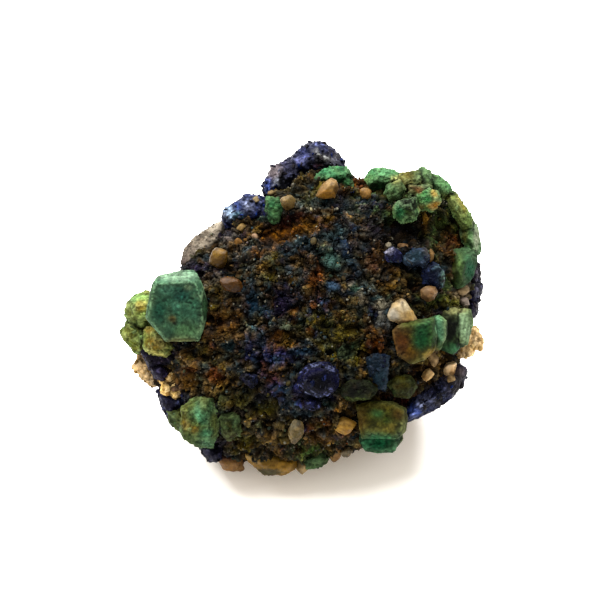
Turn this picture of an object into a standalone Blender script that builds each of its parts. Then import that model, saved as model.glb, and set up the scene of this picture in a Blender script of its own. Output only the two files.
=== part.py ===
"""Azurite specimen: a hand-sized nodule of coarse sandstone cemented by azurite, with blocky
malachite crystals, dark azurite lumps and quartz grains seated in its skin.

Metres, +Z up. The nodule rests on the flat broken facet under it (z = 0) and its display face
leans back, so the face is drawn in a frame of its own:
  x  across the face, y  up the face, w  out of the face, all in millimetres.
Outlines on the face are given on a 0.125 mm drawing grid, gx to the right and gy downwards.
"""
import math
import random

import bmesh
import bpy
from mathutils import Matrix, Vector, noise

# ---------------------------------------------------------------- driving dimensions
GRID = 0.125            # mm per step of the drawing grid
MID = (302.0, 310.0)    # grid point at the middle of the face
LEAN = 45.0             # degrees that the face leans back from upright
STAND = (-0.028, -1.402, 18.1)   # mm, where the middle of the face stands over the base
BODY_AT = (308.0, 312.0, -3.5)   # grid, grid, mm: centre that the nodule is turned about
FRONT_DEPTH = 12.5      # mm from that centre to the face
BACK_DEPTH = 20.0       # mm from that centre to the back
FRONT_POWER = 2.5       # squareness of the section towards the face
BACK_POWER = 2.15
CLEAR = 0.3             # mm left between a crystal or a grain and its seat
MM = 0.001

S, C = math.sin(math.radians(LEAN)), math.cos(math.radians(LEAN))
FACE = Matrix(((1, 0, 0), (0, S, -C), (0, C, S)))   # columns: x, y and w of the face

# The nodule's own rim, without what stands proud of it, clockwise from the top.
RIM = [(312, 157), (332, 164), (350, 177), (366, 179), (382, 180), (402, 180), (422, 180), (438, 186),
       (450, 200), (460, 216), (468, 232), (472, 250), (473, 270), (474, 290), (471, 310), (467, 330),
       (464, 350), (458, 368), (448, 384), (428, 400), (408, 412), (400, 430), (386, 442), (362, 446),
       (345, 453), (328, 458), (308, 464), (290, 467), (270, 469), (250, 465), (230, 462), (212, 455),
       (200, 445), (184, 432), (172, 415), (164, 398), (158, 384), (150, 372), (149, 356), (152, 340),
       (158, 320), (158, 300), (170, 282), (182, 266), (190, 246), (206, 234), (226, 224), (236, 208),
       (252, 202), (268, 192), (278, 178), (295, 166)]

# Swellings (+) and hollows (-) of the face: grid x, grid y, spread in grid steps, mm.
RELIEF = [(396, 230, 13, -3.6), (276, 235, 10, -1.5), (300, 228, 10, -1.5), (446, 230, 10, -2.4),
          (318, 384, 26, 1.0), (268, 292, 18, -0.9), (425, 200, 16, 1.0), (330, 205, 14, 0.6),
          (230, 345, 24, -0.5), (384, 312, 16, 0.4), (352, 300, 16, -0.5), (378, 400, 10, -1.2)]

# Flat fracture planes on the back: outward normal in the face frame, mm from the centre.
BREAKS = [((0.75, 0.25, -0.62), 17.0), ((-0.78, 0.2, -0.6), 17.5), ((0.1, 0.86, -0.5), 15.5),
          ((-0.35, 0.35, -0.87), 16.5), ((0.4, -0.1, -0.92), 17.5)]


def rim_table():
    """Radius of the rim, in mm, for each degree round the face, smoothed a little."""
    pts = [((x - BODY_AT[0]) * GRID, (BODY_AT[1] - y) * GRID) for x, y in RIM]
    found = []
    for k in range(360):
        a = math.radians(k)
        dx, dy = math.cos(a), math.sin(a)
        best = 0.0
        for (x1, y1), (x2, y2) in zip(pts, pts[1:] + pts[:1]):
            ex, ey = x2 - x1, y2 - y1
            det = ex * dy - ey * dx
            if abs(det) < 1e-12:
                continue
            t = (ex * y1 - ey * x1) / det
            s = (dx * y1 - dy * x1) / det
            if t > 0 and -1e-9 <= s <= 1 + 1e-9:
                best = max(best, t)
        found.append(best)
    return [sum(found[(k + j) % 360] for j in range(-3, 4)) / 7 for k in range(360)]


RIM_R = rim_table()


def rim_radius(angle):
    k = math.degrees(angle) % 360
    i = int(k)
    f = k - i
    return RIM_R[i % 360] * (1 - f) + RIM_R[(i + 1) % 360] * f


def skin(gx, gy):
    """w of the nodule's face at a grid point, in mm."""
    x, y = (gx - BODY_AT[0]) * GRID, (BODY_AT[1] - gy) * GRID
    t = math.hypot(x, y) / rim_radius(math.atan2(y, x))
    if t >= 0.995:
        return BODY_AT[2]
    w = BODY_AT[2] + FRONT_DEPTH * (1 - t ** FRONT_POWER) ** (1 / FRONT_POWER)
    return w + sum(h * math.exp(-((gx - a) ** 2 + (gy - b) ** 2) / (2 * s * s)) for a, b, s, h in RELIEF)


def body_point(d):
    """The nodule's surface in direction d from its centre, in mm in the face frame."""
    flat = math.hypot(d.x, d.y)
    front = d.z >= 0
    depth, power = (FRONT_DEPTH, FRONT_POWER) if front else (BACK_DEPTH, BACK_POWER)
    r = ((flat / rim_radius(math.atan2(d.y, d.x))) ** power + (abs(d.z) / depth) ** power) ** (-1 / power)
    if not front:
        # soft minimum with the fracture planes
        k = 9.0
        total = math.exp(-k * 1.0)
        for n, dist in BREAKS:
            n = Vector(n).normalized()
            along = n.dot(d)
            if along > 0.05:
                total += math.exp(-k * dist / (along * r))
        r = r * min(1.0, -math.log(total) / k)
    p = d * r
    if front:
        gx, gy = BODY_AT[0] + p.x / GRID, BODY_AT[1] - p.y / GRID
        lift = sum(h * math.exp(-((gx - a) ** 2 + (gy - b) ** 2) / (2 * s * s)) for a, b, s, h in RELIEF)
        p.z += lift * min(1.0, d.z * 3)
    rough = 0.7 * noise.noise(p * 0.28) + 0.55 * noise.noise(p * 0.62 + Vector((7, 3, 1)))
    return p + d * rough


# ---------------------------------------------------------------- small helpers
def collection(name):
    made = bpy.data.collections.new(name)
    bpy.context.scene.collection.children.link(made)
    return made


def world_of(face_point):
    return Vector(STAND) + FACE @ face_point


def material(name, colour, roughness, metallic=0.0):
    made = bpy.data.materials.new(name)
    made.use_nodes = True
    shader = made.node_tree.nodes["Principled BSDF"]
    shader.inputs["Base Color"].default_value = (*colour, 1)
    shader.inputs["Roughness"].default_value = roughness
    shader.inputs["Metallic"].default_value = metallic
    return made


def add(name, bm, where, home, stuff=None, turn=None):
    """A named object from a bmesh in mm, standing at a point of the face frame."""
    mesh = bpy.data.meshes.new(name)
    bmesh.ops.recalc_face_normals(bm, faces=bm.faces)
    bm.transform(Matrix.Scale(MM, 4))
    bm.to_mesh(mesh)
    bm.free()
    obj = bpy.data.objects.new(name, mesh)
    if stuff:
        mesh.materials.append(stuff)
    obj.matrix_world = Matrix.Translation(world_of(where) * MM) @ (turn or FACE).to_4x4()
    home.objects.link(obj)
    return obj


def boolean(target, tool, operation):
    modifier = target.modifiers.new("Boolean", "BOOLEAN")
    modifier.operation = operation
    modifier.solver = "EXACT"
    modifier.object = tool
    bpy.context.view_layer.update()
    graph = bpy.context.evaluated_depsgraph_get()
    made = bpy.data.meshes.new_from_object(target.evaluated_get(graph))
    target.modifiers.clear()
    old = target.data
    target.data = made
    name = old.name
    bpy.data.meshes.remove(old)
    made.name = name


def keep_largest(obj):
    """Drops the crumbs that a cut leaves loose, and welds what is closer than a micron."""
    bm = bmesh.new()
    bm.from_mesh(obj.data)
    bmesh.ops.remove_doubles(bm, verts=bm.verts, dist=1e-6)
    bm.verts.ensure_lookup_table()
    seen, groups = set(), []
    for v in bm.verts:
        if v in seen:
            continue
        stack, group = [v], []
        seen.add(v)
        while stack:
            a = stack.pop()
            group.append(a)
            for e in a.link_edges:
                b = e.other_vert(a)
                if b not in seen:
                    seen.add(b)
                    stack.append(b)
        groups.append(group)
    groups.sort(key=len, reverse=True)
    for group in groups[1:]:
        bmesh.ops.delete(bm, geom=group, context="VERTS")
    bm.to_mesh(obj.data)
    bm.free()


def hull(points):
    """Convex outline, anticlockwise, of face points in mm."""
    pts = sorted(set(points))

    def half(seq):
        out = []
        for p in seq:
            while len(out) > 1 and ((out[-1][0] - out[-2][0]) * (p[1] - out[-2][1])
                                    - (out[-1][1] - out[-2][1]) * (p[0] - out[-2][0])) <= 0:
                out.pop()
            out.append(p)
        return out[:-1]
    return half(pts) + half(pts[::-1])


# ---------------------------------------------------------------- crystals and grains
class Crystal:
    """A crystal drawn by its outline on the face: an upright prism with bevelled front edges, a
    front facet that may slope, and sides that draw in towards the root. Each extra facet is given
    by its normal and by the grid point where it meets the level of the front."""

    def __init__(self, outline, w, front, back, bevel=0.8, slope=(0.0, 0.0), draw=0.12, steep=0.8, extra=()):
        gx = sum(p[0] for p in outline) / len(outline)
        gy = sum(p[1] for p in outline) / len(outline)
        level = skin(gx, gy) + w[1] if isinstance(w, tuple) else w
        self.centre = Vector(((gx - MID[0]) * GRID, (MID[1] - gy) * GRID, level))
        ring = hull([((x - gx) * GRID, (gy - y) * GRID) for x, y in outline])
        self.size = max(math.hypot(*p) for p in ring)
        self.planes, self.small = [], []
        for i, ((x1, y1), (x2, y2)) in enumerate(zip(ring, ring[1:] + ring[:1])):
            side = Vector((y2 - y1, x1 - x2, 0)).normalized()
            reach = side.x * x1 + side.y * y1
            foot = Vector((side.x, side.y, -draw)).normalized()
            self.planes.append((foot, foot.dot(Vector((x1, y1, 0)))))
            edge = Vector((side.x * steep, side.y * steep, 1 - 0.5 * steep)).normalized()
            cut = bevel * (0.65 + 0.7 * ((i * 37) % 10) / 10)
            self.small.append((edge, edge.dot(Vector((side.x * reach, side.y * reach, front - cut)))))
            if i % 2:
                heel = Vector((side.x, side.y, -0.9)).normalized()
                self.small.append((heel, heel.dot(Vector((side.x * reach, side.y * reach, -0.5 * back)))))
        for normal, (x, y) in extra:
            cut = Vector(normal).normalized()
            self.planes.append((cut, cut.dot(Vector(((x - gx) * GRID, (gy - y) * GRID, front)))))
        face = Vector((slope[0], slope[1], 1)).normalized()
        self.planes.append((face, front * face.z))
        self.planes.append((Vector((0, 0, -1)), back))
        self.frame = FACE

    def solid(self, grow=0.0):
        """The space inside all of its facets, each moved out by grow. A seat, which is grown, leaves the small facets out."""
        bm = bmesh.new()
        bmesh.ops.create_cube(bm, size=2.0 * (self.size * 1.6 + 4.0))
        for n, dist in self.planes + ([] if grow else self.small):
            bmesh.ops.bisect_plane(bm, geom=bm.verts[:] + bm.edges[:] + bm.faces[:], dist=1e-5,
                                   plane_co=n * (dist + grow), plane_no=n, clear_outer=True)
            rim = [e for e in bm.edges if e.is_boundary]
            if rim:
                bmesh.ops.holes_fill(bm, edges=rim, sides=0)
        bmesh.ops.remove_doubles(bm, verts=bm.verts, dist=0.004)
        bmesh.ops.dissolve_degenerate(bm, edges=bm.edges[:], dist=0.004)
        return bm


class Stud(Crystal):
    """A blocky crystal that stands on the nodule away from the face, its axis along direction d."""

    def __init__(self, direction, size, sink, seed, spin=0.0):
        rnd = random.Random(seed)
        d = Vector(direction).normalized()
        foot = Vector(((BODY_AT[0] - MID[0]) * GRID, (MID[1] - BODY_AT[1]) * GRID, BODY_AT[2])) + body_point(d)
        self.centre = foot - d * sink
        a, b, c = size
        self.size = max(size) * 1.2
        self.planes, self.small = [], []
        for n, dist in (((1, 0, 0), a), ((-1, 0, 0), a), ((0, 1, 0), b), ((0, -1, 0), b), ((0, 0, 1), c), ((0, 0, -1), c),
                        ((1, 1, 0.1), 0.80 * (a + b)), ((-1, 1, 0), 0.78 * (a + b)), ((1, -1, 0), 0.8 * (a + b)),
                        ((-1, -1, 0.1), 0.79 * (a + b)), ((1, 0, 1), 0.84 * (a + c)), ((-1, 0, 1), 0.76 * (a + c)),
                        ((0, 1, 1), 0.8 * (b + c)), ((0.1, -1, 1), 0.8 * (b + c)), ((0, 1, -1), 0.85 * (b + c))):
            v = Vector([q + rnd.uniform(-0.06, 0.06) for q in n])
            self.planes.append((v.normalized(), dist * rnd.uniform(0.94, 1.04) / v.length))
        side = d.cross(Vector((0.3, 1, 0.2))).normalized()
        other = d.cross(side)
        local = Matrix((side, other, d)).transposed() @ Matrix.Rotation(math.radians(spin), 3, "Z")
        self.frame = FACE @ local


class Grain:
    """A worn quartz or feldspar grain: grid x, grid y, half width, half height (grid steps), turn in
    degrees on the face, and how far its middle lies over the skin (mm)."""

    def __init__(self, gx, gy, a, b, turn=0.0, lift=0.25, deep=None, seed=1, w=None, fine=2):
        self.fine = fine
        level = skin(gx, gy) + lift if w is None else w
        self.centre = Vector(((gx - MID[0]) * GRID, (MID[1] - gy) * GRID, level))
        self.half = (a * GRID, b * GRID, (deep or 0.8 * (a + b) / 2) * GRID)
        self.turn, self.seed = math.radians(turn), seed
        self.frame = FACE

    def solid(self, grow=0.0):
        bm = bmesh.new()
        bmesh.ops.create_icosphere(bm, subdivisions=self.fine, radius=1.0)
        off = Vector((self.seed * 3.1, self.seed * 1.7, 0))
        spin = Matrix.Rotation(self.turn, 3, "Z")
        for v in bm.verts:
            d = v.co.normalized()
            swell = 1 + 0.16 * noise.noise(d * 1.3 + off)
            p = Vector((d.x * self.half[0], d.y * self.half[1], d.z * self.half[2])) * swell
            v.co = spin @ (p + d * grow * 1.25)
        return bm


def knobs(points, w, size, seed, lift=0.0):
    """Small balls grown together into a crust."""
    rnd = random.Random(seed)
    return [Grain(x, y, size * rnd.uniform(0.85, 1.2), size * rnd.uniform(0.85, 1.2), rnd.uniform(0, 90),
                  lift=lift + rnd.uniform(-0.15, 0.25), seed=seed + i, fine=1,
                  w=None if w is None else w + rnd.uniform(-0.4, 0.4))
            for i, (x, y) in enumerate(points)]


ON = "on the skin"      # a w of (ON, h) puts a crystal's middle h mm over the nodule's skin

# ---------------------------------------------------------------- the pieces, most prominent first
PIECES = [
    # big malachite crystal at the left, its broad facet to the front and a bright facet along its top
    ("malachite_crystal_left", "malachite",
     [Crystal([(160, 277), (176, 272.5), (194, 271), (200, 280), (209, 306), (203, 330), (199, 339), (168, 339.5), (149, 317), (155, 285)],
              4.6, 3.4, 3.4, bevel=0.4, slope=(-0.05, -0.04), draw=0.1,
              extra=[((-0.08, 0.80, 0.60), (176, 282.5)), ((0.87, 0.05, 0.50), (201.5, 305))])]),
    ("quartz_pebble_cream", "quartz",
     [Crystal([(388, 313), (392, 303), (400, 298), (406, 301), (415, 318), (412, 323.5), (400, 324), (390, 318)], (ON, 0.5), 1.3, 1.6, bevel=0.8)]),
    ("quartz_grain_amber_upper", "quartz", [Grain(220, 258.5, 9, 10, 0, 0.5, seed=2)]),
    ("quartz_grain_amber_lower", "quartz", [Grain(233, 285, 9.5, 7, 25, 0.4, seed=3)]),
    ("quartz_grain_tan_upper", "quartz", [Grain(289, 204, 6, 10, -22, 0.5, seed=4)]),
    ("quartz_grain_tan_top", "quartz",
     [Crystal([(316, 197), (321, 187), (331, 178.5), (336, 181), (338, 190), (334, 199), (322, 200)], (ON, 0.8), 1.2, 1.6, bevel=0.9)]),
    ("quartz_grain_tan_top_right", "quartz", [Grain(365, 194.5, 5.5, 6.2, 0, 0.6, seed=6)]),
    ("quartz_grain_brown_right", "quartz",
     [Crystal([(419, 290), (425, 286), (434, 287), (436, 292), (432, 300), (426, 302), (420, 298)], (ON, 0.4), 1.0, 1.4, bevel=0.6)]),
    ("quartz_grain_gold_bottom", "quartz", [Grain(345, 424.5, 9.2, 8.8, 0, 0.5, seed=8)]),
    ("quartz_grain_grey_bottom", "quartz", [Grain(296, 429.5, 7, 11.5, -5, 0.4, seed=9)]),
    ("quartz_grain_cream_right", "quartz", [Grain(449.5, 368.5, 6.5, 9, -15, 0.8, seed=10)]),
    ("quartz_grain_cream_lower", "quartz", [Grain(427, 374, 4.6, 6.5, -15, 0.5, seed=11)]),
    ("azurite_crystal_centre", "azurite",
     [Crystal([(298, 373), (305, 365), (318, 360.5), (330, 362), (338, 370), (338.5, 384), (331, 392), (318, 396), (305, 391), (298, 383)],
              (ON, 0.5), 1.9, 2.0, bevel=1.3, slope=(0.03, -0.06)),
      Crystal([(304, 399), (311, 396), (320, 399), (320, 406), (312, 409), (305, 406)], (ON, 0.4), 1.2, 1.2, bevel=0.5),
      Crystal([(303, 385), (321, 385), (321, 402), (305, 402)], (ON, -0.3), 0.8, 0.9, bevel=0.4)]),
    ("azurite_crystal_slate", "azurite",
     [Crystal([(366, 358), (373, 353), (388, 355), (386, 372), (384.5, 389), (378, 386), (369, 374)], (ON, 0.4), 1.2, 1.5, bevel=0.4)]),
    ("azurite_crystal_violet", "azurite",
     [Crystal([(240, 377), (246, 372), (258, 374), (258, 384), (252, 386.5)], (ON, 0.4), 0.9, 1.0, bevel=0.4)]),
    ("malachite_blocks_right", "malachite",
     [Crystal([(392, 331), (400, 324), (416, 320), (430, 320), (435, 334), (431, 350), (421, 359), (409, 362), (397, 353)],
              (ON, 1.0), 2.4, 2.8, bevel=0.8, slope=(-0.08, -0.06)),
      Crystal([(424, 320), (437, 316), (443, 320), (444, 334), (438, 348), (428, 350)], (ON, 1.3), 2.3, 2.8, bevel=0.4, slope=(0.22, 0)),
      Crystal([(441, 314), (452, 309), (458, 311), (459, 345), (452, 352), (440, 347)], 2.4, 3.4, 3.2, bevel=0.5, slope=(0.05, 0)),
      Crystal([(455, 310), (468, 311), (470, 322), (465, 343), (456, 347)], 2.3, 3.4, 3.2, bevel=0.6, slope=(0.2, 0))]),
    ("malachite_blade_right", "malachite",
     [Crystal([(453, 250), (465, 248), (476, 254), (475.5, 265), (472, 276), (463, 286), (455, 288), (450, 281), (448.5, 262)],
              1.6, 3.2, 3.0, bevel=1.6, slope=(0.16, 0.0))]),
    ("malachite_rim_upper_right", "malachite",
     [Crystal([(364, 179), (370, 171), (380, 168.5), (392, 170), (400, 174), (399, 184), (388, 191), (371, 190)], 0.6, 2.6, 2.8, bevel=1.2),
      Crystal([(386, 186), (399, 180), (404, 190), (398, 200), (389, 202), (384, 194)], (ON, 0.2), 1.6, 2.4, bevel=0.7),
      Crystal([(400, 174), (418, 172), (425, 182), (418, 192), (403, 192), (398, 184)], 1.2, 2.8, 2.8, bevel=1.0),
      Crystal([(416, 172), (422, 168.5), (430, 172), (434, 186), (426, 192), (415, 187)], 0.6, 2.8, 2.6, bevel=0.9),
      Crystal([(428, 174), (439, 177), (448, 184), (452, 194), (442, 200), (430, 190)], 0.2, 2.6, 2.6, bevel=1.0),
      Crystal([(392, 207), (399, 202), (414, 199), (418, 210), (413, 222), (400, 224.5), (393, 217)], (ON, 1.6), 1.9, 2.8, bevel=0.9, slope=(0, -0.08)),
      Crystal([(416, 195), (428, 189), (437, 193), (439, 204), (430, 212), (418, 211)], (ON, 1.2), 1.8, 3.0, bevel=0.9),
      Crystal([(408, 186), (432, 186), (430, 202), (408, 206)], (ON, 0.0), 1.0, 2.0, bevel=0.4),
      Crystal([(446, 188), (455, 193), (463, 207), (471, 217), (472, 230), (464, 228), (454, 212), (446, 200)], 0.2, 2.4, 2.6, bevel=1.0),
      Crystal([(467, 218), (473, 220), (478, 230), (480, 244), (479.5, 254), (470, 254), (464, 240)], -0.6, 2.4, 2.6, bevel=1.0)]),
    ("malachite_cluster_left", "malachite",
     [Crystal([(128, 303), (133, 296), (148, 291), (156, 298), (158, 326), (144, 330), (127.5, 318)], 0.8, 2.9, 3.2, bevel=1.5),
      Crystal([(121.5, 332), (128, 320), (140, 318), (150, 330), (148, 346), (138, 353), (129, 346)], 0.2, 2.9, 3.2, bevel=1.5),
      Crystal([(144, 330), (160, 326), (174, 338), (178, 345), (172, 352), (165, 357.5), (152, 354), (143, 346)], 2.2, 2.9, 3.4, bevel=1.6)]),
    ("malachite_block_lower_left", "malachite",
     [Crystal([(183, 406), (196, 396), (214, 398), (219, 412), (218, 432), (213, 446), (199, 445), (186, 438), (181, 428)],
              (ON, 0.9), 2.2, 2.6, bevel=1.2, slope=(-0.1, -0.1)),
      Crystal([(168, 411), (180, 408), (190, 416), (188, 432), (180, 431), (170, 423)], 0.6, 2.2, 2.4, bevel=0.9)]),
    ("malachite_patch_bottom", "malachite",
     [Crystal([(222, 414), (232, 410), (241, 416), (240, 434), (230, 440), (222, 432)], (ON, 0.3), 1.4, 1.6, bevel=0.8)]),
    ("malachite_block_lower_right", "malachite",
     [Crystal([(357, 405), (370, 401), (392, 402), (404, 408), (405, 418), (403, 430), (396, 436), (362, 436)],
              (ON, 0.7), 2.6, 3.0, bevel=0.8, slope=(0.02, 0.12)),
      Crystal([(361, 426), (399, 426), (398, 440), (393, 450), (380, 452), (366, 450), (360, 440)], (ON, 0.5), 2.5, 3.0, bevel=0.6,
              slope=(0.04, -0.12)),
      Crystal([(390, 418), (404, 416), (402, 441), (396, 447), (391, 440)], (ON, 0.6), 2.3, 2.6, bevel=0.4, slope=(0.25, 0))]),
    ("malachite_crust_top", "malachite",
     [Crystal([(314, 184), (318, 175), (332, 168.5), (345, 168.5), (350, 176), (344, 183), (322, 186)], 1.2, 3.0, 2.8, bevel=0.9),
      Crystal([(340, 172), (349, 174), (353, 188), (346, 193), (339, 186)], (ON, 0.2), 1.3, 1.8, bevel=0.6)]),
    ("malachite_tuft_upper_left", "malachite",
     [Crystal([(266, 198), (279, 198), (283, 208), (280, 221), (273, 225), (267, 212)], (ON, 0.3), 1.2, 1.8, bevel=0.7)]),
    ("azurite_crown_top", "azurite",
     [Crystal([(284, 163), (294, 154), (308, 143.5), (320, 143), (334, 150.5), (343, 159), (343.5, 168), (324, 178), (298, 180)],
              -2.0, 4.2, 4.6, bevel=2.0, slope=(0.05, -0.1)),
      Crystal([(264, 190), (268, 176), (272, 167), (284, 162.5), (298, 166), (298, 182), (280, 192), (266, 196)], -0.6, 3.4, 3.6, bevel=1.5)]),
    ("azurite_lump_upper_left", "azurite",
     [Crystal([(223, 220), (227, 209), (238, 200), (249, 195), (262, 197), (268, 206), (267, 222), (257, 227), (238, 226), (226, 226)],
              0.8, 3.6, 3.4, bevel=1.7)]),
    ("azurite_plate_lower_right", "azurite",
     [Crystal([(405, 419), (408, 403), (418, 392), (432, 382), (449, 374), (460, 364), (467, 370), (463, 383), (450, 398), (430, 411), (413, 420)],
              0.8, 3.0, 3.4, bevel=1.5, slope=(0.1, -0.05))]),
    ("azurite_ridge_left", "azurite",
     [Crystal([(146, 353), (158, 353), (176, 350), (182, 360), (170, 368), (152, 369)], 1.2, 2.2, 2.4, bevel=0.9),
      Crystal([(151, 366), (161, 364), (168, 373), (164, 380), (155, 377)], 1.2, 2.2, 2.0, bevel=0.6)]),
    ("azurite_flank_lower_left", "azurite",
     [Crystal([(157.5, 390), (170, 391), (184, 397), (184, 406), (173, 412), (168, 418), (161, 405)], -0.2, 2.6, 2.6, bevel=1.0)]),
    ("azurite_rim_right", "azurite",
     [Crystal([(470, 262), (479, 263), (481, 276), (480, 290), (471, 290)], -2.6, 2.2, 2.6, bevel=0.8),
      Crystal([(468, 284), (483, 284), (482, 292), (477, 302), (468, 302)], -2.2, 2.4, 2.8, bevel=0.8),
      Crystal([(467, 298), (478, 302), (477, 313), (473, 319.5), (466, 314)], -2.4, 2.2, 2.6, bevel=0.7)]),
    ("azurite_cluster_right", "azurite",
     [Crystal([(383, 253), (391, 247), (401, 255), (399, 263), (387, 263)], (ON, 0.5), 1.1, 1.6, bevel=0.5),
      Crystal([(400, 258), (411, 250), (423, 249), (428, 258), (424, 268), (405, 266)], (ON, 0.3), 1.3, 1.6, bevel=0.5),
      Crystal([(419, 266), (432, 264), (442, 272), (442, 288), (436, 286), (423, 283)], (ON, 0.3), 1.3, 1.6, bevel=0.6)]),
    ("azurite_edge_bottom_left", "azurite",
     [Crystal([(199, 446), (212, 443), (222, 447), (221, 460), (209, 461.5), (203, 454)], -1.0, 2.2, 2.4, bevel=0.8)]),
    ("olive_crystal_left", "malachite",
     [Crystal([(340, 386), (352, 378), (369, 380), (377, 388), (369, 398), (350, 399), (341, 395)], (ON, 0.3), 1.3, 1.6, bevel=0.7)]),
    ("olive_crystal_right", "malachite",
     [Crystal([(386, 383), (396, 374), (410, 374), (415, 386), (408, 397), (394, 395)], (ON, 0.5), 1.6, 2.0, bevel=0.8)]),
    ("malachite_edge_bottom", "malachite",
     [Crystal([(302, 456), (318, 451), (329, 459), (321, 467), (307, 468.5)], -0.8, 2.2, 2.4, bevel=0.8)]),
    ("quartz_patch_grey", "quartz",
     [Crystal([(181, 263), (184, 250), (193, 238), (205, 230), (218, 221.5), (227, 223), (229, 236), (222, 248), (209, 256), (204, 270), (192, 270)],
              -0.4, 2.6, 3.2, bevel=1.7)]),
    ("crust_cream_left", "quartz", knobs([(164, 381), (171, 377), (179, 380), (181, 388), (175, 393), (166, 389), (172, 385)], 2.0, 5.5, 31)),
    ("crust_pale_left", "quartz", knobs([(142, 358), (140, 367), (146, 374), (152, 380), (147, 364), (151, 371)], -0.6, 6.2, 51)),
    ("crust_peach_right", "quartz", knobs([(474, 333), (476, 342), (470, 350), (462, 353), (467, 341), (463, 346)], 0.0, 6.4, 71)),
    ("quartz_grain_brown_bottom", "quartz", [Grain(231, 463, 12, 9.5, 0, seed=18, w=-1.4, deep=11)]),
    ("quartz_slab_bottom", "quartz",
     [Crystal([(244, 451), (258, 449), (278, 453), (296, 458), (297, 467), (283, 475), (264, 474), (249, 462)], -0.2, 2.0, 2.6, bevel=1.0)]),
    ("quartz_spike_bottom", "quartz", [Crystal([(297, 460), (308, 463), (309, 468), (302, 474), (296, 468)], -0.8, 1.6, 2.0, bevel=0.6)]),
    ("quartz_grain_tan_bottom", "quartz", [Grain(335.5, 453, 7, 6, 0, seed=21, w=-0.4, deep=8, fine=1)]),
    ("quartz_grain_grey_edge", "quartz", [Grain(347, 451.5, 5.5, 6, 0, seed=22, w=0.4, deep=8, fine=1)]),
    # the same minerals on the side that a cabinet hides
    ("malachite_crystal_back", "malachite", [Stud((0.45, 0.45, -0.77), (3.2, 2.7, 2.9), 0.6, 5, 20),
                                             Stud((0.25, 0.55, -0.79), (2.4, 2.1, 2.3), 0.4, 6, 60)]),
    ("azurite_lump_back", "azurite", [Stud((-0.62, 0.35, -0.7), (3.6, 2.9, 2.4), 0.7, 9, 10),
                                      Stud((-0.72, 0.15, -0.68), (2.6, 2.6, 2.2), 0.5, 10, 45)]),
    ("quartz_pebble_back", "quartz", [Stud((-0.1, 0.3, -0.95), (2.1, 1.6, 1.5), 0.2, 14, 30)]),
]

COLOURS = {"malachite": ((0.10, 0.24, 0.13), 0.6), "azurite": ((0.012, 0.02, 0.12), 0.3),
           "quartz": ((0.42, 0.30, 0.16), 0.45), "matrix": ((0.09, 0.07, 0.045), 0.7)}


def main():
    for obj in list(bpy.data.objects):
        bpy.data.objects.remove(obj, do_unlink=True)
    home = collection("azurite_specimen")
    tools = collection("cutters")
    stuff = {k: material(k, c, r) for k, (c, r) in COLOURS.items()}

    # the nodule: a ball drawn out to the rim, roughened, then broken off flat where it rests
    bm = bmesh.new()
    bmesh.ops.create_icosphere(bm, subdivisions=5, radius=1.0)
    for v in bm.verts:
        v.co = body_point(v.co.normalized())
    centre = Vector(((BODY_AT[0] - MID[0]) * GRID, (MID[1] - BODY_AT[1]) * GRID, BODY_AT[2]))
    nodule = add("matrix", bm, centre, home, stuff["matrix"])
    thin = nodule.modifiers.new("Decimate", "DECIMATE")
    thin.ratio = 0.14
    thin.use_collapse_triangulate = True
    bpy.context.view_layer.update()
    graph = bpy.context.evaluated_depsgraph_get()
    coarse = bpy.data.meshes.new_from_object(nodule.evaluated_get(graph))
    nodule.modifiers.clear()
    nodule.data = coarse
    up = nodule.matrix_world.to_3x3().transposed() @ Vector((0, 0, 1))
    bm = bmesh.new()
    bm.from_mesh(coarse)
    bmesh.ops.bisect_plane(bm, geom=bm.verts[:] + bm.edges[:] + bm.faces[:], dist=1e-7,
                           plane_co=nodule.matrix_world.inverted() @ Vector((0, 0, 0)), plane_no=up, clear_inner=True)
    bmesh.ops.holes_fill(bm, edges=[e for e in bm.edges if e.is_boundary], sides=0)
    bm.to_mesh(coarse)
    bm.free()

    seats = []      # (cutter object, world centre, reach) of every crystal placed so far
    for name, kind, members in PIECES:
        piece = None
        for i, m in enumerate(members):
            one = add(name if piece is None else name + ".tool", m.solid(), m.centre, home, stuff[kind], m.frame)
            if piece is None:
                piece = one
            else:
                boolean(piece, one, "UNION")
                bpy.data.objects.remove(one, do_unlink=True)
        bpy.context.view_layer.update()
        box = [piece.matrix_world @ Vector(c) for c in piece.bound_box]
        low = Vector([min(p[i] for p in box) for i in range(3)])
        high = Vector([max(p[i] for p in box) for i in range(3)])
        for seat, s_low, s_high in seats:
            if all(low[i] < s_high[i] and high[i] > s_low[i] for i in range(3)):
                boolean(piece, seat, "DIFFERENCE")
        keep_largest(piece)
        for m in members:
            cutter = add(name + ".seat", m.solid(CLEAR), m.centre, tools, None, m.frame)
            cutter.hide_render = True
            cutter.display_type = "WIRE"
            bpy.context.view_layer.update()
            box = [cutter.matrix_world @ Vector(c) for c in cutter.bound_box]
            seats.append((cutter, Vector([min(p[i] for p in box) for i in range(3)]),
                          Vector([max(p[i] for p in box) for i in range(3)])))
    for seat, _, _ in seats:
        boolean(nodule, seat, "DIFFERENCE")
    keep_largest(nodule)


main()
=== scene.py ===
"""Looks of the azurite specimen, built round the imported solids.

The display face leans back 45 degrees and is drawn in a frame of its own, the same one that the solids
use: gx to the right and gy downwards on a 0.125 mm grid, and w, in mm, out of the face.
"""
import math
import random

import bmesh
import bpy
import numpy as np
from mathutils import Matrix, Vector, noise
from mathutils.bvhtree import BVHTree
from mathutils.kdtree import KDTree


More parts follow.
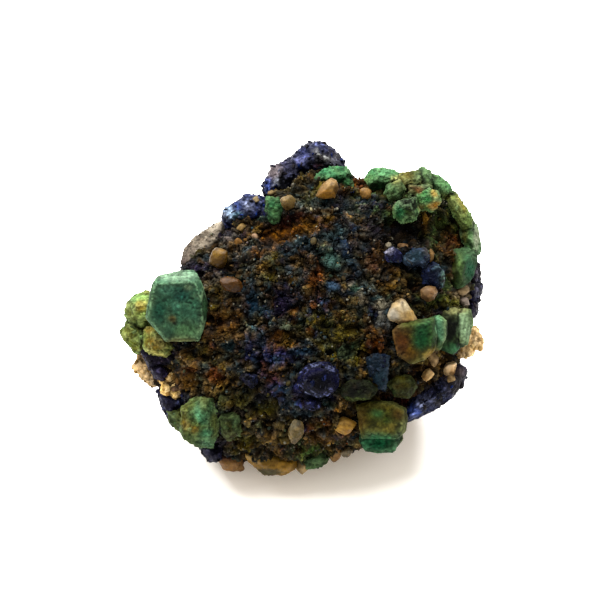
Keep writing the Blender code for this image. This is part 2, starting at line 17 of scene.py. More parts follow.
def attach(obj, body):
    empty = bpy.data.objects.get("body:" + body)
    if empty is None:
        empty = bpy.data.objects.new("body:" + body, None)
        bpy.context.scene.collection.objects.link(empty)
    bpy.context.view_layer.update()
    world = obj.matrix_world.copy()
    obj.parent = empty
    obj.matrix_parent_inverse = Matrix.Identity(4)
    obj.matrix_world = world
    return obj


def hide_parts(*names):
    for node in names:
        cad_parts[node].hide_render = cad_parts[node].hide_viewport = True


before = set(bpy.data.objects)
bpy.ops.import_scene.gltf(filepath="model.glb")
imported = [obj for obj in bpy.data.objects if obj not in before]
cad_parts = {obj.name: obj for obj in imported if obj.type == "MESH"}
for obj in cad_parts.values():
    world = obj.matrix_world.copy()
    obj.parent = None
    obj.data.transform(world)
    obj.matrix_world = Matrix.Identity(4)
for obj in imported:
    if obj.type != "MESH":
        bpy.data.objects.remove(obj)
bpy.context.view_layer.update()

# ---------------------------------------------------------------- the frame that the face is drawn in
GRID = 0.125
MID = (302.0, 310.0)
LEAN = 45.0
STAND = np.array((-0.028, -1.402, 18.1))
BODY_AT = (308.0, 312.0, -3.5)
FRONT_DEPTH, BACK_DEPTH = 12.5, 20.0
FRONT_POWER, BACK_POWER = 2.5, 2.15
MM = 0.001
S, C = math.sin(math.radians(LEAN)), math.cos(math.radians(LEAN))
FACE = np.array(((1, 0, 0), (0, S, -C), (0, C, S)), float)     # columns: x, y and w of the face
UP = FACE.T @ np.array((0, 0, 1.0))                            # the world's up, in the face frame
CENTRE = np.array(((BODY_AT[0] - MID[0]) * GRID, (MID[1] - BODY_AT[1]) * GRID, BODY_AT[2]))

RIM = [(312, 157), (332, 164), (350, 177), (366, 179), (382, 180), (402, 180), (422, 180), (438, 186),
       (450, 200), (460, 216), (468, 232), (472, 250), (473, 270), (474, 290), (471, 310), (467, 330),
       (464, 350), (458, 368), (448, 384), (428, 400), (408, 412), (400, 430), (386, 442), (362, 446),
       (345, 453), (328, 458), (308, 464), (290, 467), (270, 469), (250, 465), (230, 462), (212, 455),
       (200, 445), (184, 432), (172, 415), (164, 398), (158, 384), (150, 372), (149, 356), (152, 340),
       (158, 320), (158, 300), (170, 282), (182, 266), (190, 246), (206, 234), (226, 224), (236, 208),
       (252, 202), (268, 192), (278, 178), (295, 166)]
RELIEF = [(396, 230, 13, -3.6), (276, 235, 10, -1.5), (300, 228, 10, -1.5), (446, 230, 10, -2.4),
          (318, 384, 26, 1.0), (268, 292, 18, -0.9), (425, 200, 16, 1.0), (330, 205, 14, 0.6),
          (230, 345, 24, -0.5), (384, 312, 16, 0.4), (352, 300, 16, -0.5), (378, 400, 10, -1.2)]
BREAKS = [((0.75, 0.25, -0.62), 17.0), ((-0.78, 0.2, -0.6), 17.5), ((0.1, 0.86, -0.5), 15.5),
          ((-0.35, 0.35, -0.87), 16.5), ((0.4, -0.1, -0.92), 17.5)]


def rim_table():
    pts = [((x - BODY_AT[0]) * GRID, (BODY_AT[1] - y) * GRID) for x, y in RIM]
    found = []
    for k in range(360):
        a = math.radians(k)
        dx, dy = math.cos(a), math.sin(a)
        best = 0.0
        for (x1, y1), (x2, y2) in zip(pts, pts[1:] + pts[:1]):
            ex, ey = x2 - x1, y2 - y1
            det = ex * dy - ey * dx
            if abs(det) < 1e-12:
                continue
            t = (ex * y1 - ey * x1) / det
            s = (dx * y1 - dy * x1) / det
            if t > 0 and -1e-9 <= s <= 1 + 1e-9:
                best = max(best, t)
        found.append(best)
    return [sum(found[(k + j) % 360] for j in range(-3, 4)) / 7 for k in range(360)]


RIM_R = rim_table()


def rim_radius(angle):
    k = math.degrees(angle) % 360
    i = int(k)
    f = k - i
    return RIM_R[i % 360] * (1 - f) + RIM_R[(i + 1) % 360] * f


def skin(gx, gy):
    x, y = (gx - BODY_AT[0]) * GRID, (BODY_AT[1] - gy) * GRID
    t = math.hypot(x, y) / rim_radius(math.atan2(y, x))
    if t >= 0.995:
        return BODY_AT[2]
    w = BODY_AT[2] + FRONT_DEPTH * (1 - t ** FRONT_POWER) ** (1 / FRONT_POWER)
    return w + sum(h * math.exp(-((gx - a) ** 2 + (gy - b) ** 2) / (2 * s * s)) for a, b, s, h in RELIEF)


def body_point(d):
    flat = math.hypot(d.x, d.y)
    front = d.z >= 0
    depth, power = (FRONT_DEPTH, FRONT_POWER) if front else (BACK_DEPTH, BACK_POWER)
    r = ((flat / rim_radius(math.atan2(d.y, d.x))) ** power + (abs(d.z) / depth) ** power) ** (-1 / power)
    if not front:
        k = 9.0
        total = math.exp(-k * 1.0)
        for n, dist in BREAKS:
            n = Vector(n).normalized()
            along = n.dot(d)
            if along > 0.05:
                total += math.exp(-k * dist / (along * r))
        r = r * min(1.0, -math.log(total) / k)
    p = d * r
    if front:
        gx, gy = BODY_AT[0] + p.x / GRID, BODY_AT[1] - p.y / GRID
        lift = sum(h * math.exp(-((gx - a) ** 2 + (gy - b) ** 2) / (2 * s * s)) for a, b, s, h in RELIEF)
        p.z += lift * min(1.0, d.z * 3)
    rough = 0.7 * noise.noise(p * 0.28) + 0.55 * noise.noise(p * 0.62 + Vector((7, 3, 1)))
    return p + d * rough


# ---------------------------------------------------------------- arithmetic on many points at once
RNG = np.random.RandomState(11)
GRAD = RNG.normal(size=(256, 3))
GRAD /= np.linalg.norm(GRAD, axis=1)[:, None]


def pnoise(P, seed=0):
    """Gradient noise at each point, about -1 to 1."""
    I = np.floor(P).astype(np.int64)
    F = P - I
    U = F * F * F * (F * (F * 6 - 15) + 10)
    out = np.zeros(len(P))
    for dx in (0, 1):
        wx = U[:, 0] if dx else 1 - U[:, 0]
        for dy in (0, 1):
            wy = U[:, 1] if dy else 1 - U[:, 1]
            for dz in (0, 1):
                wz = U[:, 2] if dz else 1 - U[:, 2]
                h = ((I[:, 0] + dx) * 73856093) ^ ((I[:, 1] + dy) * 19349663) ^ ((I[:, 2] + dz) * 83492791) ^ (seed * 2654435)
                h = (h ^ (h >> 13)) & 0x7FFFFFFF
                h = (h * 1274126177) & 0x7FFFFFFF
                g = GRAD[(h >> 11) & 255]
                out += wx * wy * wz * ((F[:, 0] - dx) * g[:, 0] + (F[:, 1] - dy) * g[:, 1] + (F[:, 2] - dz) * g[:, 2])
    return out * 1.7


def fbm(P, scale, octaves=3, seed=0, gain=0.5):
    out, amp, total = np.zeros(len(P)), 1.0, 0.0
    for i in range(octaves):
        out += amp * pnoise(P * scale * 2 ** i + 13.7 * i, seed + i)
        total += amp
        amp *= gain
    return out / total


def cells(P, scale, seed=0):
    """The nearest of many points, one to each cube of side 1/scale: how far it is, how much farther the next one
    is, the way to it, and three numbers from -1 to 1 that belong to it."""
    Q = P * scale
    I = np.floor(Q).astype(np.int64)
    best, second = np.full(len(P), 9.0), np.full(len(P), 9.0)
    away, own = np.zeros((len(P), 3)), np.zeros((len(P), 3))
    for k in range(27):
        J = I + (k // 9 - 1, k // 3 % 3 - 1, k % 3 - 1)
        h = (J[:, 0] * 73856093) ^ (J[:, 1] * 19349663) ^ (J[:, 2] * 83492791) ^ (seed * 7919 + 17)
        h = ((h ^ (h >> 13)) & 0x7FFFFFFF) * 1274126177 & 0x7FFFFFFF
        h = (h ^ (h >> 15)) * 461845907 & 0x3FFFFFFFFF
        bits = np.stack([(h >> 3) & 1023, (h >> 13) & 1023, (h >> 23) & 1023], 1) / 1023.0
        v = Q - (J + 0.1 + 0.8 * bits)
        d = np.sqrt((v * v).sum(axis=1))
        nearer = d < best
        second = np.where(nearer, best, np.minimum(second, d))
        best = np.where(nearer, d, best)
        away[nearer], own[nearer] = v[nearer], (bits[nearer] * 7.13 % 1) * 2 - 1
    return best, second - best, away, own


def chipped(P, scale, seed=0):
    """A surface broken into small flat faces, each with a tilt and a level of its own, about -1 to 1."""
    d, margin, away, own = cells(P, scale, seed)
    return (away * own).sum(axis=1) * 1.1 + 0.45 * own[:, 0] * own[:, 1] + 0.3 * own[:, 2]


def ico(sub):
    bm = bmesh.new()
    bmesh.ops.create_icosphere(bm, subdivisions=sub, radius=1.0)
    V = np.array([v.co[:] for v in bm.verts])
    F = np.array([[v.index for v in f.verts] for f in bm.faces])
    bm.free()
    return V / np.linalg.norm(V, axis=1)[:, None], F


ICO = {k: ico(k) for k in (1, 2, 3, 4, 5, 6, 7)}


def normals_of(V, F):
    T = V[F]
    n = np.cross(T[:, 1] - T[:, 0], T[:, 2] - T[:, 0])
    out = np.zeros_like(V)
    for i in range(3):
        np.add.at(out, F[:, i], n)
    return out / np.maximum(np.linalg.norm(out, axis=1), 1e-12)[:, None]


def smooth(a, b, x):
    t = np.clip((x - a) / (b - a), 0, 1)
    return t * t * (3 - 2 * t)


DEEPER, STRONGER = 0.14, 1.35    # the stones are seen under a light brighter than the floor needs


def lin(*rgb):
    """The stone's own colour, in linear light, from the one it shows (0 to 255)."""
    c = np.array(rgb, float) / 255
    c = np.where(c <= 0.04045, c / 12.92, ((c + 0.055) / 1.055) ** 2.4)
    grey = c @ (0.3, 0.6, 0.1)
    return np.maximum(grey + (c - grey) * STRONGER, 0.0008) * DEEPER


def to_world(P):
    return (STAND + P @ FACE.T) * MM


def grid_of(P):
    return MID[0] + P[:, 0] / GRID, MID[1] - P[:, 1] / GRID


def face_xy(gx, gy):
    return (gx - MID[0]) * GRID, (MID[1] - gy) * GRID


# ---------------------------------------------------------------- meshes
HOME = bpy.data.collections.new("azurite_specimen")
bpy.context.scene.collection.children.link(HOME)


def mesh_object(name, V, F, colour, gloss, material, rested=True, soft=None):
    """An object from points in the face frame (mm), triangles, and a colour and a gloss for each point."""
    W = to_world(V)
    if rested:
        W[:, 2] = np.maximum(W[:, 2], 0.00001)
    me = bpy.data.meshes.new(name)
    me.vertices.add(len(W))
    me.vertices.foreach_set("co", W.astype(np.float32).ravel())
    me.loops.add(len(F) * 3)
    me.loops.foreach_set("vertex_index", F.astype(np.int32).ravel())
    me.polygons.add(len(F))
    me.polygons.foreach_set("loop_start", np.arange(0, len(F) * 3, 3, dtype=np.int32))
    me.polygons.foreach_set("use_smooth", np.ones(len(F), dtype=bool) if soft is None else soft)
    a = me.color_attributes.new("Col", "FLOAT_COLOR", "POINT")
    rgba = np.ones((len(V), 4), np.float32)
    rgba[:, :3] = np.clip(colour, 0, 1)
    a.data.foreach_set("color", rgba.ravel())
    g = me.attributes.new("gloss", "FLOAT", "POINT")
    g.data.foreach_set("value", np.clip(gloss, 0, 1).astype(np.float32))
    me.update(calc_edges=True)
    me.materials.append(material)
    obj = bpy.data.objects.new(name, me)
    HOME.objects.link(obj)
    return obj


class Pile:
    """Many small closed meshes gathered into one object."""

    def __init__(self):
        self.V, self.F, self.C, self.G, self.S, self.n = [], [], [], [], [], 0

    def add(self, V, F, colour, gloss, soft=True):
        self.V.append(V)
        self.F.append(F + self.n)
        self.S.append(np.full(len(F), soft))
        self.C.append(np.broadcast_to(colour, V.shape) if np.ndim(colour) == 1 else colour)
        self.G.append(np.full(len(V), gloss) if np.ndim(gloss) == 0 else gloss)
        self.n += len(V)

    def tris(self):
        return sum(len(f) for f in self.F)

    def object(self, name, material):
        return mesh_object(name, np.concatenate(self.V), np.concatenate(self.F), np.concatenate(self.C),
                           np.concatenate(self.G), material, soft=np.concatenate(self.S))


def union(parts):
    """The outer surface of several closed meshes (points, triangles) grown together."""
    if len(parts) == 1:
        return parts[0]
    objs = []
    for V, F in parts:
        me = bpy.data.meshes.new("u")
        me.from_pydata([tuple(v) for v in V], [], [tuple(int(i) for i in f) for f in F])
        o = bpy.data.objects.new("u", me)
        bpy.context.scene.collection.objects.link(o)
        objs.append(o)
    first = objs[0]
    for o in objs[1:]:
        m = first.modifiers.new("join", "BOOLEAN")
        m.operation, m.solver, m.object = "UNION", "MANIFOLD", o
    bpy.context.view_layer.update()
    graph = bpy.context.evaluated_depsgraph_get()
    made = first.evaluated_get(graph).to_mesh()
    made.calc_loop_triangles()
    V = np.empty(len(made.vertices) * 3)
    made.vertices.foreach_get("co", V)
    F = np.empty(len(made.loop_triangles) * 3, np.int32)
    made.loop_triangles.foreach_get("vertices", F)
    V, F = V.reshape(-1, 3).copy(), F.reshape(-1, 3).copy()
    first.evaluated_get(graph).to_mesh_clear()
    for o in objs:
        me = o.data
        bpy.data.objects.remove(o, do_unlink=True)
        bpy.data.meshes.remove(me)
    # two faces on the same three points enclose nothing: both go
    _, which, count = np.unique(np.sort(F, axis=1), axis=0, return_inverse=True, return_counts=True)
    F = F[count[which.ravel()] == 1]
    used = np.unique(F)
    at = np.full(len(V), -1)
    at[used] = np.arange(len(used))
    return V[used], at[F]


def rounded(D, N, dist, power):
    """Distance from the middle to a body bounded by planes (normal, distance), along each direction, with worn edges."""
    t = np.maximum(D @ N.T, 1e-6) / dist
    return (t ** power).sum(axis=1) ** (-1.0 / power)


def random_turn(rnd):
    q = rnd.normal(size=4)
    w, x, y, z = q / np.linalg.norm(q)
    return np.array(((1 - 2 * (y * y + z * z), 2 * (x * y - z * w), 2 * (x * z + y * w)),
                     (2 * (x * y + z * w), 1 - 2 * (x * x + z * z), 2 * (y * z - x * w)),
                     (2 * (x * z - y * w), 2 * (y * z + x * w), 1 - 2 * (x * x + y * y))))


def grain_shape(seed, sub, power, planes=13, rough=0.05, squash=(1, 1, 1)):
    """A worn sand grain of mean radius 1."""
    rnd = np.random.RandomState(seed)
    N = rnd.normal(size=(planes, 3))
    N /= np.linalg.norm(N, axis=1)[:, None]
    N = np.concatenate([N, -N * 0.999])
    dist = rnd.uniform(0.74, 1.1, len(N))
    D, F = ICO[sub]
    r = rounded(D, N, dist, power)
    r *= 1 + rough * pnoise(D * 2.3 + seed, seed) + 0.5 * rough * pnoise(D * 5.1 + seed, seed)
    V = D * r[:, None]
    V /= np.mean(np.linalg.norm(V, axis=1))
    return V * np.array(squash), F


def blade_shape(seed, sub=2, thick=0.35, long=1.5):
    """A small tabular crystal."""
    rnd = np.random.RandomState(seed)
    N = [(1, 0, 0), (-1, 0, 0), (0, 1, 0), (0, -1, 0), (0, 0, 1), (0, 0, -1), (1, 1, 0), (-1, -1, 0), (1, 0, 0.6),
         (0.2, 1, 0.4), (-1, 0.2, -0.5), (0.1, -1, 0.5)]
    d = [long, long, 0.8, 0.8, thick, thick, 1.25, 1.2, 1.25, 0.85, 1.3, 0.85]
    N = np.array(N) + rnd.uniform(-0.12, 0.12, (len(N), 3))
    size = np.linalg.norm(N, axis=1)
    D, F = ICO[sub]
    flat = D * np.array((1.0, 0.8, 0.55))
    flat /= np.linalg.norm(flat, axis=1)[:, None]
    return flat * rounded(flat, N / size[:, None], np.array(d) / size, 30)[:, None], F


SAND = {sub: [grain_shape(k, sub, 6 + (k % 5) * 2) for k in range(18)] for sub in (1, 2, 3)}
ANGULAR = {sub: [grain_shape(100 + k, sub, 18, planes=8) for k in range(14)] for sub in (1, 2, 3)}
BLADES = {sub: [blade_shape(200 + k, sub, 0.3 + 0.05 * (k % 4), 1.2 + 0.1 * (k % 5)) for k in range(12)] for sub in (2, 3)}
BALLS = {sub: [grain_shape(300 + k, sub, 4, planes=20, rough=0.10) for k in range(10)] for sub in (1, 2, 3)}

# ---------------------------------------------------------------- the nodule's skin
D6, F6 = ICO[6]
BODY = np.array([body_point(Vector(d))[:] for d in D6]) + CENTRE
BASE_Z = float(-(STAND[2]))          # face-frame points with UP.p below this are under the base
height = BODY @ UP - BASE_Z
inside = (CENTRE @ UP) - BASE_Z
low = height < 0.05
scale = np.where(low, (inside - 0.05) / np.maximum(inside - height, 1e-6), 1.0)
BODY = CENTRE + (BODY - CENTRE) * scale[:, None]
BODY_N = normals_of(BODY, F6)
TREE = BVHTree.FromPolygons([Vector(v) for v in BODY], [tuple(int(i) for i in f) for f in F6])


def drop(gx, gy):
    """The skin's point and normal under a place on the drawing of the face."""
    x, y = face_xy(gx, gy)
    hit, n, _, _ = TREE.ray_cast(Vector((x, y, 40.0)), Vector((0, 0, -1)))
    if hit is None:
        hit, n, _, _ = TREE.find_nearest(Vector((x, y, -2.5)))
    return np.array(hit), np.array(n)


# ---------------------------------------------------------------- colours of the rock, by place on the face
# name: [(share, colour, gloss), ...] for the sand grains, and the colour of the cement between them
ROCK = {
    "dark": ([(24, (64, 56, 30), .25), (14, (38, 42, 34), .35), (24, (34, 60, 72), .45), (12, (104, 78, 38), .3),
              (6, (140, 108, 58), .35), (12, (54, 78, 66), .35), (5, (168, 150, 108), .4), (8, (34, 42, 92), .7)], (34, 33, 26)),
    "slate": ([(34, (58, 88, 100), .5), (24, (38, 62, 82), .5), (16, (108, 124, 122), .4), (10, (46, 44, 36), .3),
               (6, (110, 92, 58), .3), (12, (34, 48, 104), .7)], (28, 42, 50)),
    "ochre": ([(30, (184, 128, 50), .2), (22, (150, 100, 36), .2), (16, (212, 166, 90), .3), (18, (100, 72, 32), .2),
               (14, (70, 58, 32), .2)], (132, 90, 34)),
    "orange": ([(34, (156, 96, 42), .2), (26, (132, 76, 32), .2), (16, (184, 130, 70), .3), (24, (84, 54, 30), .2)], (96, 58, 26)),
    "olive": ([(30, (104, 94, 36), .25), (26, (76, 74, 30), .25), (16, (134, 120, 56), .3), (16, (54, 58, 36), .25),
               (12, (56, 80, 62), .3)], (56, 54, 24)),
    "brown": ([(30, (98, 68, 38), .25), (24, (72, 52, 32), .25), (20, (134, 98, 58), .35), (10, (166, 132, 88), .4),
               (16, (52, 42, 32), .3)], (58, 40, 24)),
    "rust": ([(34, (96, 44, 24), .2), (30, (66, 34, 22), .2), (20, (124, 66, 34), .2), (16, (50, 32, 24), .2)], (60, 28, 18)),
    "blue": ([(34, (26, 34, 96), .8), (18, (34, 50, 124), .85), (20, (22, 24, 62), .7), (14, (54, 60, 88), .5),
              (14, (62, 58, 58), .35)], (20, 22, 48)),
    "violet": ([(40, (34, 32, 66), .7), (30, (26, 24, 50), .7), (12, (66, 60, 96), .6), (18, (50, 44, 46), .3)], (24, 22, 34)),
    "cream": ([(36, (216, 188, 146), .4), (26, (190, 156, 108), .35), (18, (232, 214, 182), .45), (20, (130, 100, 64), .3)], (90, 66, 40)),
    "teal": ([(36, (70, 106, 98), .4), (26, (92, 130, 116), .4), (20, (50, 78, 76), .4), (18, (70, 66, 44), .3)], (40, 52, 48)),
    "green": ([(34, (88, 124, 76), .3), (26, (112, 142, 88), .3), (20, (64, 98, 62), .3), (20, (92, 90, 48), .25)], (50, 60, 34)),
    "grey": ([(34, (120, 112, 102), .4), (26, (90, 86, 82), .4), (20, (150, 142, 128), .4), (20, (60, 54, 46), .3)], (58, 50, 42)),
    "mixed": ([(20, (186, 150, 100), .4), (16, (150, 112, 68), .35), (14, (204, 176, 132), .45), (14, (92, 72, 46), .3),
               (12, (70, 68, 56), .35), (12, (84, 104, 76), .3), (8, (46, 52, 80), .5), (4, (190, 112, 50), .25)], (62, 48, 32)),
    "black": ([(50, (34, 30, 34), .35), (30, (44, 36, 50), .4), (20, (58, 46, 36), .25)], (20, 17, 18)),
}
# (grid x, grid y, half width, half height, turn, strength, rock)
ZONES = [
    (272, 244, 16, 6, 32, 3.0, "ochre"), (300, 231, 20, 5, 22, 3.4, "ochre"), (328, 222, 14, 5, 22, 2.6, "ochre"),
    (286, 226, 14, 7, 20, 2.6, "rust"), (316, 217, 12, 5, 20, 1.6, "brown"),
    (300, 241, 24, 4, 20, 2.4, "slate"), (336, 227, 14, 5, 15, 1.6, "slate"),
    (262, 232, 6, 6, 0, 1.6, "ochre"), (268, 216, 8, 8, 0, 1.0, "teal"),
    # the strong "black" patch at 395, 228 lies in the deep hollow of RELIEF: painted shade
    (358, 182, 9, 6, 0, 4.0, "orange"), (395, 228, 22, 15, 0, 5.0, "black"), (248, 262, 10, 22, 0, 1.2, "slate"), (296, 262, 8, 14, 0, 0.8, "slate"), (410, 262, 16, 10, 0, 1.2, "slate"), (372, 300, 10, 14, 0, 0.8, "slate"), (268, 352, 14, 12, 0, 1.2, "blue"), (330, 322, 18, 10, 0, 1.0, "olive"), (352, 345, 18, 12, 0, 1.0, "olive"), (405, 200, 34, 16, 0, 1.6, "green"), (455, 215, 12, 22, 0, 1.4, "green"), (440, 205, 10, 10, 0, 1.2, "olive"), (384, 210, 9, 8, 0, 1.6, "violet"),
    (449, 230, 15, 18, 0, 3.0, "brown"), (451, 241, 8, 7, 0, 2.6, "rust"),
    (325, 212, 22, 14, 0, 1.5, "slate"), (345, 235, 16, 16, 0, 1.2, "slate"), (314, 195, 10, 8, 0, 1.0, "olive"),
    (284, 248, 20, 6, 15, 1.6, "slate"), (370, 205, 7, 9, 0, 1.6, "blue"),
    (222, 322, 15, 22, 0, 1.6, "brown"), (214, 300, 8, 12, 0, 1.0, "olive"),
    (314, 275, 6, 14, -10, 1.8, "orange"), (270, 264, 10, 10, 0, 1.2, "olive"), (296, 262, 10, 10, 0, 1.0, "brown"),
    (330, 262, 12, 10, 0, 1.2, "teal"), (283, 305, 12, 15, 0, 1.3, "violet"), (262, 312, 10, 14, 0, 0.9, "slate"),
    (251, 300, 5, 14, 0, 1.4, "slate"), (251, 355, 8, 14, 0, 1.3, "blue"), (288, 353, 9, 6, 0, 1.2, "blue"),
    (300, 326, 14, 10, 0, 1.0, "olive"), (340, 345, 22, 14, 0, 1.2, "olive"), (340, 312, 12, 10, 0, 1.0, "brown"),
    (300, 345, 20, 14, 0, 0.9, "slate"), (322, 300, 10, 12, 0, 0.9, "slate"),
    (372, 345, 9, 9, 0, 2.6, "orange"), (384, 335, 8, 12, 0, 1.4, "brown"),
    (380, 262, 9, 14, 0, 1.2, "brown"), (400, 285, 14, 10, 0, 1.2, "mixed"), (352, 262, 12, 20, 0, 0.8, "slate"),
    (220, 381, 5, 9, 0, 1.2, "orange"), (186, 372, 8, 8, 0, 1.0, "orange"), (206, 366, 8, 10, 0, 1.0, "slate"), (232, 352, 10, 12, 0, 1.0, "slate"), (210, 355, 14, 10, 0, 1.3, "olive"),
    (178, 398, 7, 7, 0, 1.6, "blue"), (168, 358, 12, 6, 0, 1.6, "violet"), (186, 380, 11, 9, 0, 3.4, "mixed"), (284, 340, 10, 8, 0, 2.0, "ochre"), (462, 294, 7, 7, 0, 2.4, "cream"), (448, 292, 12, 12, 0, 1.6, "mixed"), (200, 372, 8, 8, 0, 1.2, "brown"), (197, 362, 16, 9, 0, 1.8, "mixed"), (210, 378, 10, 10, 0, 1.3, "mixed"), (216, 352, 10, 8, 0, 1.0, "mixed"),
    (236, 398, 14, 10, 0, 1.2, "olive"), (275, 388, 14, 10, 0, 1.5, "blue"), (270, 375, 7, 5, 0, 1.6, "orange"),
    (262, 410, 18, 10, 0, 1.0, "olive"), (285, 404, 12, 8, 0, 1.0, "slate"), (248, 442, 14, 10, 0, 1.3, "olive"),
    (318, 395, 20, 8, 0, 1.2, "blue"), (344, 405, 14, 9, 0, 1.0, "mixed"), (330, 440, 20, 12, 0, 1.5, "mixed"),
    (283, 446, 22, 14, 0, 1.2, "mixed"), (360, 436, 9, 12, 0, 1.4, "dark"), (312, 452, 16, 8, 0, 1.3, "green"),
    (354, 392, 26, 12, 0, 1.1, "olive"), (400, 398, 12, 7, 0, 2.0, "rust"), (430, 360, 14, 16, 0, 1.5, "mixed"),
    (448, 372, 12, 14, 0, 1.5, "brown"), (420, 372, 8, 10, 0, 1.2, "brown"),
    (226, 244, 10, 9, 0, 2.6, "grey"), (222, 250, 10, 12, 0, 1.2, "mixed"), (232, 240, 8, 10, 0, 1.4, "blue"), (200, 268, 14, 6, 0, 2.0, "violet"),
    (240, 236, 10, 8, 0, 1.4, "mixed"), (206, 282, 8, 8, 0, 1.4, "grey"), (285, 178, 14, 8, 35, 1.6, "olive"),
    # the "black" patch at 316, 165, under the crown, is painted shade in its hollow
    (268, 190, 8, 6, 35, 1.6, "mixed"), (303, 172, 8, 5, 0, 1.6, "mixed"), (316, 165, 12, 5, 0, 1.8, "black"),
    (340, 192, 6, 6, 0, 2.0, "violet"), (412, 234, 20, 8, 0, 1.2, "dark"), (432, 240, 8, 18, 0, 1.6, "green"),
    (445, 300, 18, 8, 0, 1.6, "green"), (462, 296, 8, 8, 0, 1.6, "mixed"), (441, 262, 6, 12, 0, 1.4, "dark"),
    (262, 428, 22, 12, 0, 1.0, "mixed"), (215, 448, 12, 8, 0, 1.4, "violet"), (272, 468, 18, 5, 0, 2.0, "olive"),
]
NAMES = list(ROCK)
CEMENT = np.array([lin(*ROCK[n][1]) for n in NAMES])


MOST = max(len(ROCK[n][0]) for n in NAMES)
TINTS = np.zeros((len(NAMES), MOST, 3))
SHARES = np.ones((len(NAMES), MOST))
GLOSS = np.zeros((len(NAMES), MOST))
for r, n in enumerate(NAMES):
    shares = np.cumsum([e[0] for e in ROCK[n][0]]) / sum(e[0] for e in ROCK[n][0])
    SHARES[r, :len(shares)] = shares
    for k, e in enumerate(ROCK[n][0]):
        TINTS[r, k], GLOSS[r, k] = lin(*e[1]), e[2]


def of_palette(W, kind, which):
    """A colour and a gloss of the rock for each row of weights, chosen by two numbers from 0 to 1."""
    r = np.minimum((np.cumsum(W, axis=1) < kind[:, None]).sum(axis=1), len(NAMES) - 1)
    k = np.minimum((SHARES[r] < which[:, None]).sum(axis=1), MOST - 1)
    return TINTS[r, k], GLOSS[r, k]


def rock_weights(P, N):
    """How much of each rock there is at points of the skin (face frame, mm) with normals N."""
    gx, gy = grid_of(P)
    W = np.zeros((len(P), len(NAMES)))
    wob = 3.0 * np.stack([fbm(P, 0.45, 2, 5), fbm(P + 31, 0.45, 2, 6)], 1)
    ax, ay = gx + wob[:, 0] * 2, gy + wob[:, 1] * 2
    seen = smooth(-0.35, 0.15, N[:, 2] + 0.15 * np.clip(P[:, 2] / 5, -1, 1))
    for x, y, rx, ry, turn, strength, rock in ZONES:
        a = math.radians(turn)
        dx, dy = ax - x, ay - y
        u = (dx * math.cos(a) - dy * math.sin(a)) / rx
        v = (dx * math.sin(a) + dy * math.cos(a)) / ry
        W[:, NAMES.index(rock)] += 1.5 * strength * np.exp(-0.9 * (u * u + v * v)) * seen
    W[:, NAMES.index("dark")] += 0.50
    W[:, NAMES.index("olive")] += 0.16
    W[:, NAMES.index("slate")] += 0.16
    W[:, NAMES.index("brown")] += 0.14
    hidden = 1 - seen
    for rock, scale, cut, amount, seed in (("brown", 0.12, 0.0, 1.6, 21), ("blue", 0.13, 0.12, 3.2, 22), ("green", 0.12, 0.15, 2.6, 23),
                                           ("ochre", 0.15, 0.15, 2.6, 24), ("mixed", 0.10, 0.0, 1.6, 25), ("slate", 0.14, 0.1, 1.6, 26),
                                           ("grey", 0.13, 0.2, 2.4, 27)):
        W[:, NAMES.index(rock)] += amount * hidden * smooth(cut, cut + 0.3, fbm(P, scale, 2, seed))
    return W / W.sum(axis=1)[:, None]


# ---------------------------------------------------------------- crystals and large grains, as the solids have them
def hull(points):
    pts = sorted(set(points))

    def half(seq):
        out = []
        for p in seq:
            while len(out) > 1 and ((out[-1][0] - out[-2][0]) * (p[1] - out[-2][1])
                                    - (out[-1][1] - out[-2][1]) * (p[0] - out[-2][0])) <= 0:
                out.pop()
            out.append(p)
        return out[:-1]
    return half(pts) + half(pts[::-1])


class Crystal:
    def __init__(self, outline, w, front, back, bevel=0.8, slope=(0.0, 0.0), draw=0.12, steep=0.8, extra=(), tint=None, sub=5):
        gx = sum(p[0] for p in outline) / len(outline)
        gy = sum(p[1] for p in outline) / len(outline)
        level = skin(gx, gy) + w[1] if isinstance(w, tuple) else w
        self.centre = np.array(((gx - MID[0]) * GRID, (MID[1] - gy) * GRID, level))
        ring = hull([((x - gx) * GRID, (gy - y) * GRID) for x, y in outline])
        self.size = max(math.hypot(*p) for p in ring)
        planes = []
        for i, ((x1, y1), (x2, y2)) in enumerate(zip(ring, ring[1:] + ring[:1])):
            side = Vector((y2 - y1, x1 - x2, 0)).normalized()
            reach = side.x * x1 + side.y * y1
            foot = Vector((side.x, side.y, -draw)).normalized()
            planes.append((foot, foot.dot(Vector((x1, y1, 0)))))
            edge = Vector((side.x * steep, side.y * steep, 1 - 0.5 * steep)).normalized()
            cut = bevel * (0.65 + 0.7 * ((i * 37) % 10) / 10)
            planes.append((edge, edge.dot(Vector((side.x * reach, side.y * reach, front - cut)))))
            if i % 2:
                heel = Vector((side.x, side.y, -0.9)).normalized()
                planes.append((heel, heel.dot(Vector((side.x * reach, side.y * reach, -0.5 * back)))))
        for normal, (x, y) in extra:
            cut = Vector(normal).normalized()
            planes.append((cut, cut.dot(Vector(((x - gx) * GRID, (gy - y) * GRID, front)))))
        face = Vector((slope[0], slope[1], 1)).normalized()
        planes.append((face, front * face.z))
        planes.append((Vector((0, 0, -1)), back))
        self.set(planes, np.eye(3), tint, sub)

    def set(self, planes, frame_, tint, sub):
        self.N = np.array([n[:] for n, _ in planes])
        self.dist = np.array([d for _, d in planes])
        self.frame, self.tint, self.sub = frame_, tint, sub
        rnd = np.random.RandomState(int(abs(self.centre[0] * 71 + self.centre[1] * 37)) + 3)
        self.shade = rnd.uniform(-1, 1, len(planes))

    def mesh(self, power=34):
        D, F = ICO[self.sub]
        r = rounded(D, self.N, self.dist, power)
        return self.centre + (D * r[:, None]) @ self.frame.T, F

    def reach(self, P):
        """For each point, how far it is outside (mm), the nearest facet, and how far it is from that facet's edges."""
        q = ((P - self.centre) @ self.frame) @ self.N.T - self.dist
        order = np.argsort(-q, axis=1)[:, :2]
        rows = np.arange(len(P))
        a, b = q[rows, order[:, 0]], q[rows, order[:, 1]]
        return a, order[:, 0], a - b


